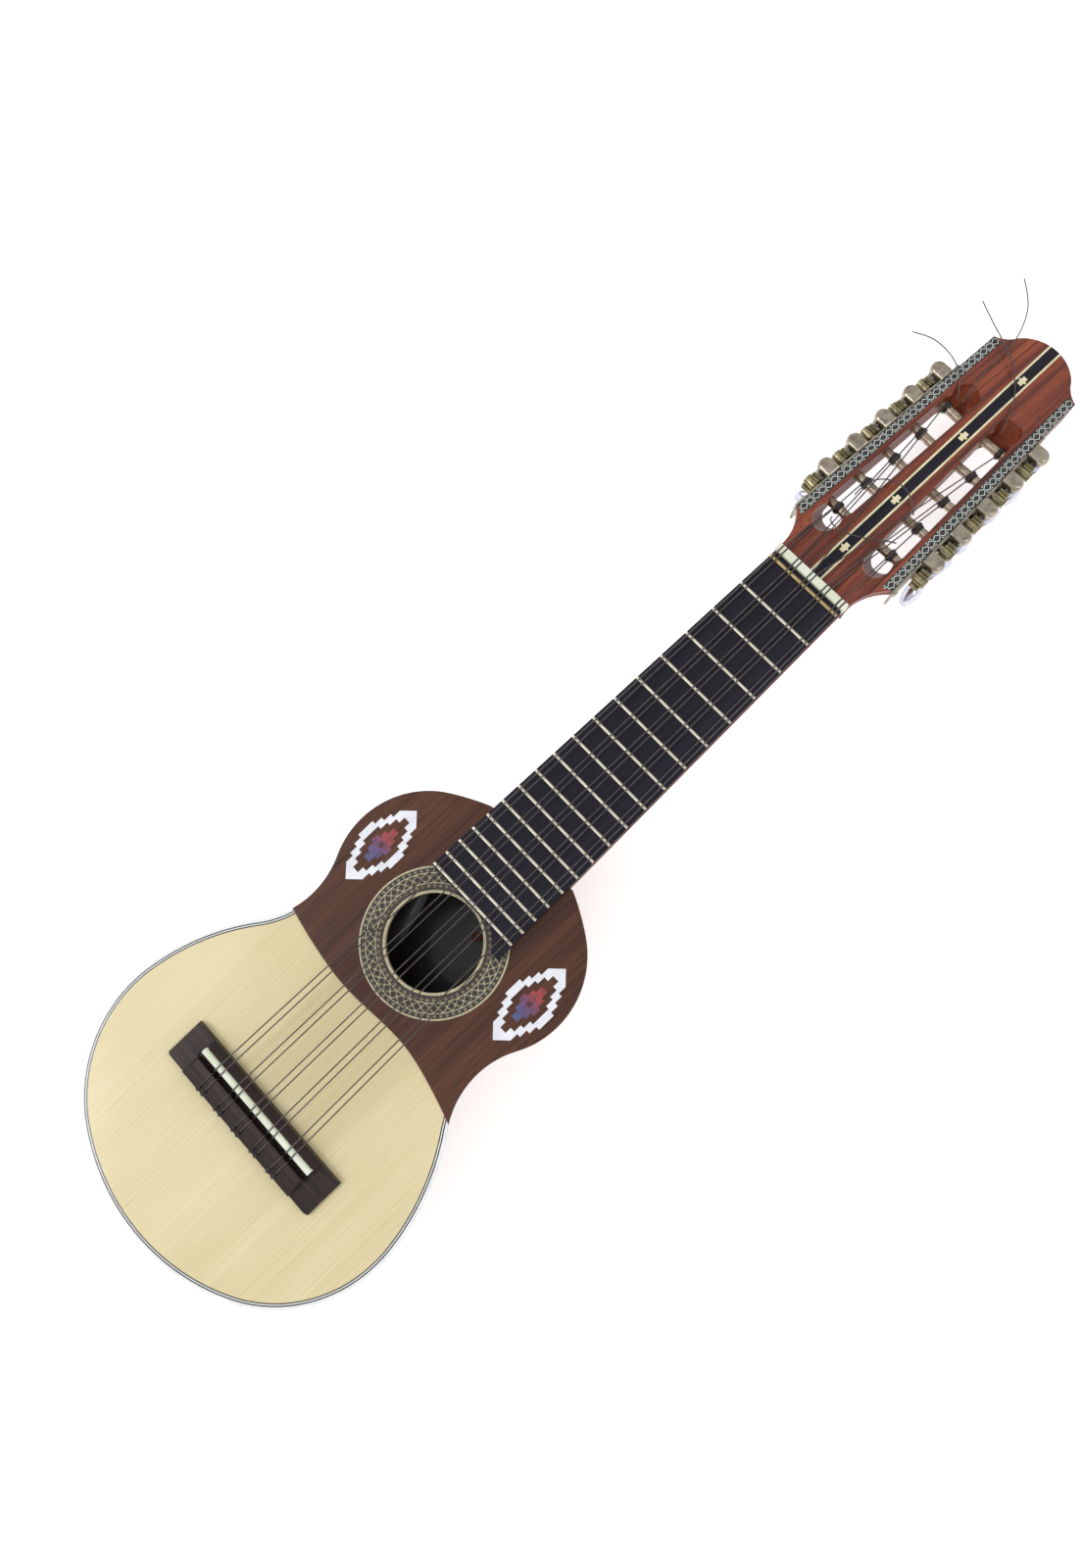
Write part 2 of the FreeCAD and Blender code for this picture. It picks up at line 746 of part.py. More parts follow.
def slot_outline(side):
    """Long round-ended slot parallel to the head's side."""
    radius = dim("slot_width") / 2
    inward = dim("cheek") + radius
    angle = math.radians(SIDE_ANGLE)
    points = []
    for along in (dim("slot_start") + radius, dim("slot_end") - radius):
        points.append((along, side * (side_y(along) - inward / math.cos(angle))))
    (x1, y1), (x2, y2) = points
    length = math.hypot(x2 - x1, y2 - y1)
    ux, uy = (x2 - x1) / length, (y2 - y1) / length
    nx, ny = -uy * radius, ux * radius
    ex, ey = ux * radius, uy * radius
    return [
        line2((x1 + nx, y1 + ny), (x2 + nx, y2 + ny)),
        arc3((x2 + nx, y2 + ny), (x2 + ex, y2 + ey), (x2 - nx, y2 - ny)),
        line2((x2 - nx, y2 - ny), (x1 - nx, y1 - ny)),
        arc3((x1 - nx, y1 - ny), (x1 - ex, y1 - ey), (x1 + nx, y1 + ny)),
    ]


def ramp_tool(side, run, centre):
    """Slanting round cut that eases one end of a slot; centre is its place on the underside."""
    radius = dim("slot_width") / 2
    axis = Vector(run, 0, -dim("head_thickness"))
    middle = centre - run / 2
    y = side * (side_y(middle) - dim("cheek") - radius)
    foot = Vector(centre, y, -dim("head_thickness")) - axis * 1.5
    return Part.makeCylinder(radius - 0.05, axis.Length * 2.5, foot, axis)


def side_frame(side, along):
    """Frame of one tuning machine: x along the head's side, z along +Y, origin on the roller's axis."""
    angle = math.radians(SIDE_ANGLE)
    forward = Vector(math.cos(angle), -side * math.sin(angle), 0)
    across = Vector(side * math.sin(angle), math.cos(angle), 0)
    down = across.cross(forward)
    matrix = FreeCAD.Matrix(
        forward.x, down.x, across.x, along,
        forward.y, down.y, across.y, side * side_y(along),
        forward.z, down.z, across.z, -dim("roller_depth"),
        0, 0, 0, 1,
    )
    return Placement(matrix)


def roller_places():
    for side, letter in ((1, "b"), (-1, "t")):
        for number in range(5):
            along = dim("first_roller_at") + number * dim("roller_pitch")
            yield side, "%s%d" % (letter, number + 1), along


def neck_section(half, depth, middle):
    """Flat-topped, round-backed section of the neck, in the YZ plane."""
    return [
        line2((half, PLATE), (-half, PLATE)),
        line2((-half, PLATE), (-half, PLATE - middle)),
        arc3((-half, PLATE - middle), (0.0, PLATE - depth), (half, PLATE - middle)),
        line2((half, PLATE - middle), (half, PLATE)),
    ]


def heel_section(half, length):
    front = arc3((JOINT_X, half), (JOINT_X + length, 0.0), (JOINT_X, -half))
    return [front, line2((JOINT_X, -half), (JOINT_X, half))]


def loft(body, name, sketches):
    item = body.newObject("PartDesign::AdditiveLoft", name)
    item.Profile = sketches[0]
    item.Sections = sketches[1:]
    doc.recompute()
    return item


def make_neck():
    """Neck, heel and slotted head carved from one piece."""
    body = new_body("neck")
    depth = dim("neck_depth")
    joint_half = half_width(dim("neck_joint_distance")) + 0.2
    nut_half = dim("nut_half_width") + 0.3
    stations = [(JOINT_X, joint_half, depth + 4.0), (DATUM + 8.0, nut_half, depth)]
    profiles = []
    for number, (x, half, deep) in enumerate(stations):
        drawing = neck_section(half, deep, 4.0)
        profiles.append(sketch(body, "section_%d" % number, drawing, "YZ_Plane", at_height(x)))
    doc.recompute()
    loft(body, "shaft", profiles)
    heels = []
    for number, (z, half, length) in enumerate(HEEL):
        heels.append(sketch(body, "heel_%d" % number, heel_section(half, length), "XY_Plane", at_height(z)))
    doc.recompute()
    loft(body, "heel", heels)
    lip = dim("head_lip")
    lowest = HEAD.multiply(at_height(-dim("head_thickness")))
    middle = HEAD.multiply(at_height(-lip))
    under = sketch(body, "head_under", head_outline(dim("flare_delay")), "XY_Plane", lowest)
    waist = sketch(body, "head_middle", head_outline(), "XY_Plane", middle)
    doc.recompute()
    loft(body, "head_lower", [under, waist]).Ruled = True
    pad(body, "head_upper", head_outline(), 0, lip - dim("veneer"), offset=middle)
    doc.recompute()
    for side in (1, -1):
        label = "slot_bass" if side > 0 else "slot_treble"
        upper = HEAD.multiply(at_height(1.0))
        pocket(body, label, slot_outline(side), 0, 30.0, offset=upper)
    doc.recompute()
    return body


def cut_head_details(shape, depth):
    """Ease the slot ends and bore the roller holes."""
    tools = []
    radius = dim("slot_width") / 2
    near, far = dim("ramp_run"), dim("far_ramp_run")
    ends = [(near, dim("slot_start") + radius + 0.15 * near), (-far, dim("slot_end") - radius)]
    for side in (1, -1):
        for run, centre in ends:
            tool = ramp_tool(side, run, centre)
            tool.Placement = HEAD.multiply(tool.Placement)
            tools.append(tool)
    if depth:
        for side, _, along in roller_places():
            place = HEAD.multiply(side_frame(side, along))
            reach = dim("cheek") + dim("slot_width") + 3.0
            hole = Part.makeCylinder(dim("roller_radius") + 0.3, reach + 4.0)
            start = -reach if side > 0 else -4.0
            hole.Placement = place.multiply(Placement(Vector(0, 0, start), Rotation()))
            tools.append(hole)
    return shape.cut(tools)


def make_head():
    raw = make_neck()
    NODES.remove(raw)
    raw.Label = "neck_blank"
    doc.recompute()
    neck = feature(cut_head_details(raw.Shape, True), "neck")
    neck.Placement = Placement()

    veneer_raw = new_body("veneer_blank")
    NODES.remove(veneer_raw)
    lowest = HEAD.multiply(at_height(-dim("veneer")))
    pad(veneer_raw, "face_plate", head_outline(), 0, "dimensions.veneer", offset=lowest)
    doc.recompute()
    for side in (1, -1):
        label = "face_slot_bass" if side > 0 else "face_slot_treble"
        pocket(veneer_raw, label, slot_outline(side), 0, 6.0, offset=HEAD.multiply(at_height(2.0)))
    inlays = head_inlays()
    beds = [solid.copy() for group in inlays.values() for solid in group]
    for bed in beds:
        bed.Placement = HEAD.multiply(bed.Placement)
    veneer = cut_head_details(veneer_raw.Shape, False).cut(beds)
    feature(veneer, "head_veneer")
    for name, group in inlays.items():
        feature(Part.makeCompound(group), name, HEAD)


CROSS_AT = [23.0, 61.5, 113.5, 160.0]


def head_inlays():
    """Inlays of the head's face in the head's frame: stripe, its lines and crosses, edge strips."""
    depth = dim("inlay_depth") + 0.4
    outline = Part.Face(Part.Wire(sorted_edges([curve.toShape() for curve in head_outline()])))
    inner = outline.extrude(Vector(0, 0, -depth))
    half = dim("stripe_width") / 2
    line = dim("stripe_line")
    length = dim("head_length") + 5

    def bar(low, high):
        return Part.makeBox(length, high - low, depth, Vector(0, low, -depth)).common(inner).Solids[0]

    crosses = [stepped_cross(along, depth) for along in CROSS_AT]
    stripe = bar(-half, half).cut(crosses)
    start, end = dim("head_widest_at"), dim("head_corner_at")
    strips = []
    for side in (1, -1):
        corners = [(start, side_y(start)), (end, side_y(end))]
        inside = [(x, y - dim("strip_width")) for x, y in reversed(corners)]
        inside[1] = (start - 3.0, inside[1][1])
        drawing = polygon([(x, side * y) for x, y in corners + inside])
        wire = Part.Wire(sorted_edges([curve.toShape() for curve in drawing]))
        strip = Part.Face(wire).extrude(Vector(0, 0, -depth))
        strips.append(strip.common(inner).Solids[0])
    return {
        "head_stripe": stripe.Solids,
        "head_stripe_inlay": [bar(half, half + line), bar(-half - line, -half)] + crosses,
        "head_edge_strips": strips,
    }


def stepped_cross(along, depth):
    """Small stepped cross: a square with its four corners notched."""
    unit = dim("stripe_width") / 5
    rows = [(-2, 2, 0.5), (-1, 1, 1.5), (-2, 2, 2.5)]
    arms = []
    for low, high, reach in rows:
        arms.append(Part.makeBox(
            2 * reach * unit, (high - low) * unit * 0.5 + 0.4, depth,
            Vector(along - reach * unit, low * unit * 0.5 - 0.2, -depth),
        ))
    upright = Part.makeBox(unit, 4 * unit, depth, Vector(along - unit / 2, -2 * unit, -depth))
    return arms[0].multiFuse(arms[1:] + [upright]).removeSplitter().Solids[0]


# ---------------------------------------------------------------- tuning machines

def gear_geometry():
    """Teeth as plain trapezoids, with a gap centred on +X."""
    teeth = int(dim("gear_teeth"))
    pitch_radius = dim("gear_module") * teeth / 2
    tip, root = pitch_radius + 0.6, pitch_radius - 0.75
    step = 2 * math.pi / teeth
    points = []
    for number in range(teeth):
        centre = (number + 0.5) * step
        for radius, share in ((root, -0.26), (tip, -0.13), (tip, 0.13), (root, 0.26)):
            angle = centre + share * step
            points.append((radius * math.cos(angle), radius * math.sin(angle)))
    return polygon(points)


def make_worm():
    """Worm shaft: thread centred on the gear's axis height, plain ends, in its own frame."""
    pitch = math.pi * dim("gear_module")
    root, tip = dim("worm_root_radius"), dim("worm_tip_radius")
    turns = 3
    height = turns * pitch
    helix = Part.makeHelix(pitch, height, root)
    profile = Part.makePolygon([
        Vector(root - 0.3, 0, -0.42), Vector(tip, 0, -0.2), Vector(tip, 0, 0.2),
        Vector(root - 0.3, 0, 0.42), Vector(root - 0.3, 0, -0.42),
    ])
    thread = Part.Wire(helix).makePipeShell([profile], True, True)
    thread.translate(Vector(0, 0, -height / 2))
    depth = dim("roller_depth")
    core = Part.makeCylinder(root, 8.0, Vector(0, 0, -4.0))
    shaft_top = depth - 1.2
    shaft_bottom = depth - dim("button_depth") + 2.0
    shaft = Part.makeCylinder(dim("shaft_radius"), shaft_top - shaft_bottom, Vector(0, 0, shaft_bottom))
    collar_top = depth - dim("button_depth") + dim("button_half_height") + 2.5
    collar = Part.makeCone(2.6, 2.1, 4.0, Vector(0, 0, collar_top - 4.0))
    return core.fuse([shaft, thread, collar])


def make_button(turn):
    button = Part.makeSphere(1.0)
    stretch = FreeCAD.Matrix()
    stretch.scale(dim("button_half_length"), dim("button_half_width"), dim("button_half_height"))
    button = button.transformGeometry(stretch)
    height = dim("roller_depth") - dim("button_depth")
    button.Placement = Placement(Vector(0, 0, height), Rotation(Vector(0, 0, 1), turn))
    return Part.makeSolid(Part.makeShell(button.Faces))


BUTTON_TURNS = {
    "b1": 118.0, "b2": 15.0, "b3": -20.0, "b4": 8.0, "b5": 30.0,
    "t1": 4.0, "t2": -12.0, "t3": 10.0, "t4": -6.0, "t5": 14.0,
}


def make_machines():
    worm = make_worm()
    gear_wire = Part.Wire([curve.toShape() for curve in gear_geometry()])
    for side, label, along in roller_places():
        machine = HEAD.multiply(side_frame(side, along))
        offset = side * dim("gear_offset")
        width = dim("gear_width")
        low = offset - width / 2

        wheel = Part.Face(gear_wire).extrude(Vector(0, 0, width))
        outer_end = width if side > 0 else 0.0
        boss = Part.makeCylinder(2.6, 1.2, Vector(0, 0, outer_end - (0.0 if side > 0 else 1.2)))
        wheel = wheel.fuse(boss)
        slit = Part.makeBox(0.7, 6.0, 0.6, Vector(-0.35, -3.0, width + 0.6 if side > 0 else -1.2))
        bore_start = Vector(0, 0, 0.0 if side > 0 else 1.0)
        bore = Part.makeCylinder(dim("roller_radius"), width - 1.0, bore_start)
        wheel = wheel.cut([slit, bore])
        wheel.Placement = Placement()
        feature(wheel, "gear_" + label, machine.multiply(at_height(low)))

        inner_end = -(dim("cheek") + dim("slot_width") + 2.5)
        outer = dim("gear_offset") + width / 2 - 1.0
        rod = Part.makeCylinder(dim("roller_radius"), outer - inner_end)
        string_hole = Part.makeCylinder(0.55, 12.0, Vector(0, -6.0, 12.0), Vector(0, 1, 0))
        rod = rod.cut(string_hole)
        if side > 0:
            place = machine.multiply(at_height(inner_end))
        else:
            place = machine.multiply(at_height(-outer))
        feature(rod, "roller_" + label, place)

        key_place = machine.multiply(Placement(
            Vector(dim("worm_distance"), 0, offset), Rotation(Vector(1, 0, 0), 90)
        ))
        button = make_button(BUTTON_TURNS[label])
        thread_part = worm.cut(button)
        feature(Part.makeCompound([thread_part, button]), "key_" + label, key_place)


def lug(x, y, z_low, z_high, radius):
    """Rounded ear of the plate round a worm shaft, joined back to the plate."""
    ear = Part.makeCylinder(radius, z_high - z_low, Vector(x, y, z_low))
    web = Part.makeBox(2 * radius, abs(y), z_high - z_low, Vector(x - radius, min(0.0, y), z_low))
    return ear.fuse(web)


def make_plates():
    """Side plates with a domed ear above and a flat ear below every worm."""
    length = dim("plate_end") - dim("plate_start")
    thickness = dim("plate_thickness")
    depth = dim("plate_depth")
    gap = dim("running_gap")
    screws = []
    for side, name in ((1, "tuner_plate_bass"), (-1, "tuner_plate_treble")):
        origin = side_frame(side, dim("first_roller_at"))
        frame = HEAD.multiply(origin).multiply(Placement(Vector(), Rotation(Vector(1, 0, 0), 90)))
        start = dim("plate_start") - dim("first_roller_at")
        y_low = 0.0 if side > 0 else -thickness
        top = dim("roller_depth") - 1.0
        shape = Part.makeBox(length, thickness, depth, Vector(start, y_low, top - depth))
        ears = []
        bores = []
        cap_top = dim("roller_depth") + 0.9
        for number in range(5):
            at_x = number * dim("roller_pitch")
            worm_x = at_x + dim("worm_distance")
            worm_y = side * dim("gear_offset")
            cap = lug(worm_x + 0.6, worm_y + side * 0.5, 4.2, cap_top, 4.5)
            rim = [edge for edge in cap.Edges if edge.BoundBox.ZMin > cap_top - 0.1]
            ears.append(cap.makeFillet(1.8, rim))
            ears.append(lug(worm_x, worm_y, -6.0, -4.5, 4.0))
            bore = dim("shaft_radius") + gap
            bores.append(Part.makeCylinder(bore, 3.0 + 1.9, Vector(worm_x, worm_y, 2.1)))
            bores.append(Part.makeCylinder(bore, 4.0, Vector(worm_x, worm_y, -7.0)))
            hole = dim("roller_radius") + gap
            bores.append(Part.makeCylinder(hole, 8.0, Vector(at_x, -4.0, 0), Vector(0, 1, 0)))
        shape = shape.fuse(ears).cut(bores).removeSplitter()
        feature(shape, name, frame)
        middle = 2 * dim("roller_pitch") + 15.4
        for at_x, at_z in ((start + 4.0, 0.0), (start + length - 4.0, 0.0), (middle, -5.6)):
            seat = Vector(at_x, side * thickness, at_z)
            screw = Part.makeCone(2.4, 1.5, 1.0, seat, Vector(0, side, 0))
            screw.Placement = frame.multiply(screw.Placement)
            screws.append(screw)
    feature(Part.makeCompound(screws), "plate_screws")


# ---------------------------------------------------------------- strings

# roller that each string runs to, and its place across the slot from the cheek
STRING_ROLLERS = [
    ("b", 1, 5.0), ("b", 2, 5.0), ("b", 3, 5.0), ("b", 4, 4.0), ("b", 5, 2.0),
    ("t", 5, 2.0), ("t", 4, 4.0), ("t", 3, 5.0), ("t", 2, 5.0), ("t", 1, 5.0),
]


def roller_top(letter, number, inside, lift):
    """Point above a roller at a distance inside its slot, in the row frame."""
    side = 1 if letter == "b" else -1
    along = dim("first_roller_at") + (number - 1) * dim("roller_pitch")
    across = -side * (dim("cheek") + inside)
    place = HEAD.multiply(side_frame(side, along))
    return place.multVec(Vector(0, -lift, across))


def make_strings():
    radius = dim("string_radius")
    solids = []
    for index, (letter, number, inside) in enumerate(STRING_ROLLERS):
        saddle_y, nut_y = SADDLE_Y[index], NUT_Y[index]
        saddle_top = Vector(SADDLE_X - 2.1, saddle_y, TOP + dim("saddle_height") + radius + 0.05)
        nut_top = Vector(DATUM + 8.0, nut_y, dim("nut_top") - 1.05 + radius + 0.05)
        end = roller_top(letter, number, inside, dim("roller_radius") + 2 * radius + 0.35)
        points = [
            Vector(BRIDGE_BACK - 1.0, saddle_y, TIE_HOLE_Z),
            Vector(BRIDGE_BACK + dim("tie_block_width") + 0.8, saddle_y, TIE_HOLE_Z),
            saddle_top,
            nut_top,
            end,
        ]
        rod, length, radii = tube(points, radius, [1.2, 1.7, 3.0])
        solids.append(rod)
        print("string %d: %.0f mm, bend radii %s" % (index + 1, length, [round(r, 1) for r in radii]))
    feature(Part.makeCompound(solids), "strings")


# free ends of the strings past their rollers, in the head's frame
TAIL_ROUTES = {
    "string_tail_1": [
        (129.0, 17.0, -3.6), (134.0, 21.0, 1.6), (138.5, 27.0, 3.4), (141.5, 35.0, 4.2),
        (142.0, 43.5, 5.0), (140.0, 51.5, 6.0), (135.0, 58.5, 7.0),
    ],
    "string_tail_2": [
        (130.5, -12.5, -2.6), (136.0, -9.5, 2.2), (147.0, -5.0, 1.8), (156.5, 3.0, 1.8), (163.5, 12.5, 2.8),
        (168.5, 23.0, 3.4), (172.5, 34.0, 3.8), (177.0, 45.5, 5.2),
    ],
    "string_tail_3": [
        (130.0, 14.0, -3.0), (136.5, 15.2, 1.8), (149.0, 17.4, 1.5), (162.0, 17.0, 1.3), (175.0, 18.2, 1.8),
        (188.0, 23.0, 3.0), (197.0, 30.0, 4.5), (202.5, 39.0, 6.0),
    ],
    "string_tail_4": [
        (50.0, 17.1, -3.2), (56.5, 17.3, 1.6), (64.5, 11.5, 3.6), (67.8, 2.5, 3.8), (66.3, -6.0, 3.0),
        (60.5, -12.5, 1.6),
    ],
    "string_tail_5": [
        (31.5, 16.3, -1.6), (27.0, 15.9, 2.9), (25.0, 9.5, 4.6), (27.5, 2.0, 4.9), (32.0, -5.0, 4.6),
        (37.5, -11.0, 4.2), (42.0, -17.0, 2.9),
    ],
}


def make_tails():
    for name, route in TAIL_ROUTES.items():
        rod, length, radii = tube([HEAD.multVec(Vector(*point)) for point in route], dim("string_radius"))
        feature(rod, name)
        print("%s: %.1f mm, bend radii %s" % (name, length, [round(r, 1) for r in radii]))


# ---------------------------------------------------------------- build and write

def export():
    doc.recompute()
    for item in doc.Objects:
        if "Invalid" in item.State or "Error" in item.State:
            raise RuntimeError("%s: %s" % (item.Label, item.State))
    os.makedirs("parts", exist_ok=True)
    for item in NODES:
        if item.Shape.isNull() or not item.Shape.isValid():
            raise RuntimeError(item.Label + " has no valid shape")
        item.Shape.exportStep("parts/%s.step" % item.Label)
    print("%d nodes written" % len(NODES))


make_carved_body()
make_top()
make_overlay()
make_inside()
make_bridge()
make_board()
make_head()
make_machines()
make_plates()
make_strings()
make_tails()
export()
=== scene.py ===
"""Looks of a ten-string charango: finishes, string windings and ends, light and camera."""

import json
import math
import random

import bpy
from mathutils import Matrix, Vector


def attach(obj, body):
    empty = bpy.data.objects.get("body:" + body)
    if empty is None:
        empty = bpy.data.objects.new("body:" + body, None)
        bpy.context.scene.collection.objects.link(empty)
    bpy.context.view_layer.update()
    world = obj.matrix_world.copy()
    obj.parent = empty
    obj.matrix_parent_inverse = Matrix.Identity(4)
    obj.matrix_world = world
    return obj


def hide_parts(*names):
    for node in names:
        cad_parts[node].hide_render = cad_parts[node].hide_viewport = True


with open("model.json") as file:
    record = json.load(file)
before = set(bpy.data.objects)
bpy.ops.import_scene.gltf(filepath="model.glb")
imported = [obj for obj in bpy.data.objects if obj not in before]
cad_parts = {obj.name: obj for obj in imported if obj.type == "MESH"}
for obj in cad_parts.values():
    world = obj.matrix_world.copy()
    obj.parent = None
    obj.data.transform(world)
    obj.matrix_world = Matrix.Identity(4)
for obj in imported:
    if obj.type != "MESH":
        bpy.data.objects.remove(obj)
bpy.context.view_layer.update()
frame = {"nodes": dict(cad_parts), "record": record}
NODES = frame["nodes"]
JOINTS = {joint["name"]: joint for joint in frame["record"]["behaviour"]["joints"]}

MM = 0.001
HEAD_TILT = math.radians(6.0)
HEAD_ORIGIN = Vector((0.3282, 0.0, 0.0746))
HEAD_FRAME = Matrix.Translation(HEAD_ORIGIN) @ Matrix.Rotation(HEAD_TILT, 4, "Y")
SOUNDHOLE = (0.061, 0.0)
BACK_PLUG = (0.073, -0.006)
BACK_PLUG_RADIUS = 0.0031
TILES_CENTRE = (0.0748, 0.0)
COAT_ROUGHNESS = 0.08
METAL_EDGE = 0.00015


def head_point(along, across, up):
    """Row-frame point of a place on the head, in millimetres along, across and above its face."""
    return HEAD_FRAME @ (Vector((along, across, up)) * MM)


# ---------------------------------------------------------------- shader graphs


def rgb(red, green, blue):
    """Linear colour with alpha of an sRGB colour from 0 to 255."""
    linear = []
    for value in (red, green, blue):
        share = value / 255
        linear.append(share / 12.92 if share <= 0.04045 else ((share + 0.055) / 1.055) ** 2.4)
    return (*linear, 1.0)


class Finish:
    """One material and short calls to lay down its nodes."""

    def __init__(self, name, **sockets):
        self.material = bpy.data.materials.new(name)
        self.material.use_nodes = True
        self.tree = self.material.node_tree
        self.shader = self.tree.nodes["Principled BSDF"]
        for key, value in sockets.items():
            self.feed(self.shader.inputs[key.replace("_", " ")], value)

    def feed(self, socket, value):
        if isinstance(value, bpy.types.NodeSocket):
            self.tree.links.new(value, socket)
        else:
            socket.default_value = value

    def node(self, kind, values=None, **settings):
        made = self.tree.nodes.new("ShaderNode" + kind)
        for key, value in settings.items():
            setattr(made, key, value)
        for key, value in (values or {}).items():
            self.feed(made.inputs[key], value)
        return made

    def place(self):
        return self.node("TexCoord").outputs["Object"]

    def math(self, operation, first, second=0.0, third=0.0):
        made = self.node("Math", {0: first, 1: second, 2: third}, operation=operation)
        return made.outputs[0]

    def axes(self, vector):
        return self.node("SeparateXYZ", {0: vector}).outputs

    def joined(self, x, y, z):
        return self.node("CombineXYZ", {0: x, 1: y, 2: z}).outputs[0]

    def scaled(self, vector, scale):
        made = self.node("VectorMath", {0: vector, 1: scale}, operation="MULTIPLY")
        return made.outputs[0]

    def moved(self, vector, offset):
        made = self.node("VectorMath", {0: vector, 1: offset}, operation="ADD")
        return made.outputs[0]

    def centred(self, centre):
        """Place measured from a centre given in the plane of the soundboard, in metres."""
        return self.moved(self.place(), (-centre[0], -centre[1], 0.0))

    def noise(self, vector, scale=1.0, detail=2.0, roughness=0.5):
        values = {"Vector": vector, "Scale": scale, "Detail": detail, "Roughness": roughness}
        return self.node("TexNoise", values).outputs[0]

    def ramp(self, value, stops):
        made = self.node("ValToRGB", {0: value})
        band = made.color_ramp
        while len(band.elements) < len(stops):
            band.elements.new(0.5)
        for element, (position, colour) in zip(band.elements, stops):
            element.position = position
            element.color = colour
        return made.outputs[0]

    def remap(self, value, low, high, to_low=0.0, to_high=1.0):
        values = {0: value, 1: low, 2: high, 3: to_low, 4: to_high}
        return self.node("MapRange", values, clamp=True).outputs[0]

    def blend(self, factor, first, second, mode="MIX"):
        made = self.node("Mix", data_type="RGBA", blend_type=mode)
        for index, value in ((0, factor), (6, first), (7, second)):
            self.feed(made.inputs[index], value)
        return made.outputs[2]

    def bump(self, height, distance, strength=1.0, edge=0.0):
        values = {"Height": height, "Distance": distance, "Strength": strength}
        made = self.node("Bump", values)
        if edge:
            rounding = self.node("Bevel", {"Radius": edge}, samples=4)
            self.feed(made.inputs["Normal"], rounding.outputs[0])
        self.feed(self.shader.inputs["Normal"], made.outputs[0])

    def colour(self, value):
        self.feed(self.shader.inputs["Base Color"], value)

    def rough(self, value):
        self.feed(self.shader.inputs["Roughness"], value)


def lacquer(amount):
    return {"Coat_Weight": amount, "Coat_Roughness": COAT_ROUGHNESS}


def turned(f, vector, order):
    """The same vector with its axes in another order, so that the grain runs along another axis."""
    if order == "XYZ":
        return vector
    parts = dict(zip("XYZ", f.axes(vector)))
    return f.joined(*(parts[letter] for letter in order))


def wood(
    name, shades, lines, sway, fibre, pores, tone, gloss,
    order="XYZ", edge=0.0, coat=0.6, shine=0.5, inside_shade=None,
):
    """Wood with growth lines, fibres, open pores and slow changes of tone along its grain.

    lines is (lines per metre, strength), sway how far the lines wander in metres, fibre and pores are
    (strength, per metre), tone the strength of the slow changes, gloss (roughness, its variation),
    shine the reflection under the lacquer, and inside_shade a painted shade colour for the faces that
    look up, which darkens the inside of the body as if in shade, except round the back plug.
    """
    f = Finish(name, Specular_IOR_Level=shine, **lacquer(coat))
    place = turned(f, f.place(), order)
    wander = f.noise(f.scaled(place, (3.2, 11.0, 11.0)), detail=1.0)
    offset = f.math("MULTIPLY", f.math("SUBTRACT", wander, 0.5), sway)
    swayed = f.moved(place, f.joined(0.0, offset, offset))
    rate, strength = lines
    growth = f.noise(f.scaled(swayed, (1.2, rate, rate * 0.25)), detail=3.0, roughness=0.6)
    growth = f.remap(growth, 0.32, 0.68)
    amount, per_metre = fibre
    hair = f.noise(f.scaled(swayed, (per_metre * 0.02, per_metre, per_metre)), detail=2.0)
    slow = f.noise(f.scaled(place, (7.0, 22.0, 22.0)), detail=2.0)
    value = f.math("MULTIPLY_ADD", growth, strength, f.math("MULTIPLY", hair, amount))
    value = f.math("MULTIPLY_ADD", slow, tone, value)
    total = strength + amount + tone
    value = f.remap(value, total * 0.22, total * 0.78)
    steps = [(index / (len(shades) - 1), shade) for index, shade in enumerate(shades)]
    colour = f.ramp(value, steps)
    depth, per_metre = pores
    pore = f.noise(f.scaled(swayed, (per_metre * 0.05, per_metre, per_metre)), detail=1.0)
    pore = f.remap(pore, 0.66, 0.74)
    dark = tuple(channel * 0.35 for channel in shades[0][:3]) + (1.0,)
    colour = f.blend(f.math("MULTIPLY", pore, depth), colour, dark)
    # painted shade: faces that look up, the inside of the hollow body, take a darker colour that
    # stands in for the shade there
    if inside_shade:
        upwards = f.axes(f.node("TexCoord").outputs["Normal"])[2]
        plug_x, plug_y = BACK_PLUG
        across_plug = f.moved(f.scaled(f.place(), (1.0, 1.0, 0.0)), (-plug_x, -plug_y, 0.0))
        from_plug = f.node("VectorMath", {0: across_plug}, operation="LENGTH").outputs["Value"]
        inside = f.math("GREATER_THAN", upwards, 0.01)
        inside = f.math("MULTIPLY", inside, f.math("GREATER_THAN", from_plug, BACK_PLUG_RADIUS))
        colour = f.blend(inside, colour, inside_shade)
    f.colour(colour)
    roughness, spread = gloss
    f.rough(f.remap(hair, 0.3, 0.7, roughness - spread, roughness + spread))
    height = f.math("MULTIPLY_ADD", pore, -depth, f.math("MULTIPLY", hair, 0.5))
    f.bump(height, 0.00006, 0.5, edge)
    return f.material


def plain(name, first, second, roughness, grain=400.0, depth=0.00003, edge=0.0, **sockets):
    """Even material with faint mottling, fine surface texture and uneven gloss."""
    f = Finish(name, **sockets)
    place = f.place()
    mottle = f.noise(place, grain * 0.25, detail=3.0)
    fine = f.noise(place, grain * 4.0, detail=2.0)
    f.colour(f.ramp(mottle, [(0.3, first), (0.7, second)]))
    f.rough(f.remap(f.noise(place, grain, detail=3.0), 0.3, 0.7, roughness * 0.8, roughness * 1.25))
    f.bump(fine, depth, 0.4, edge)
    return f.material


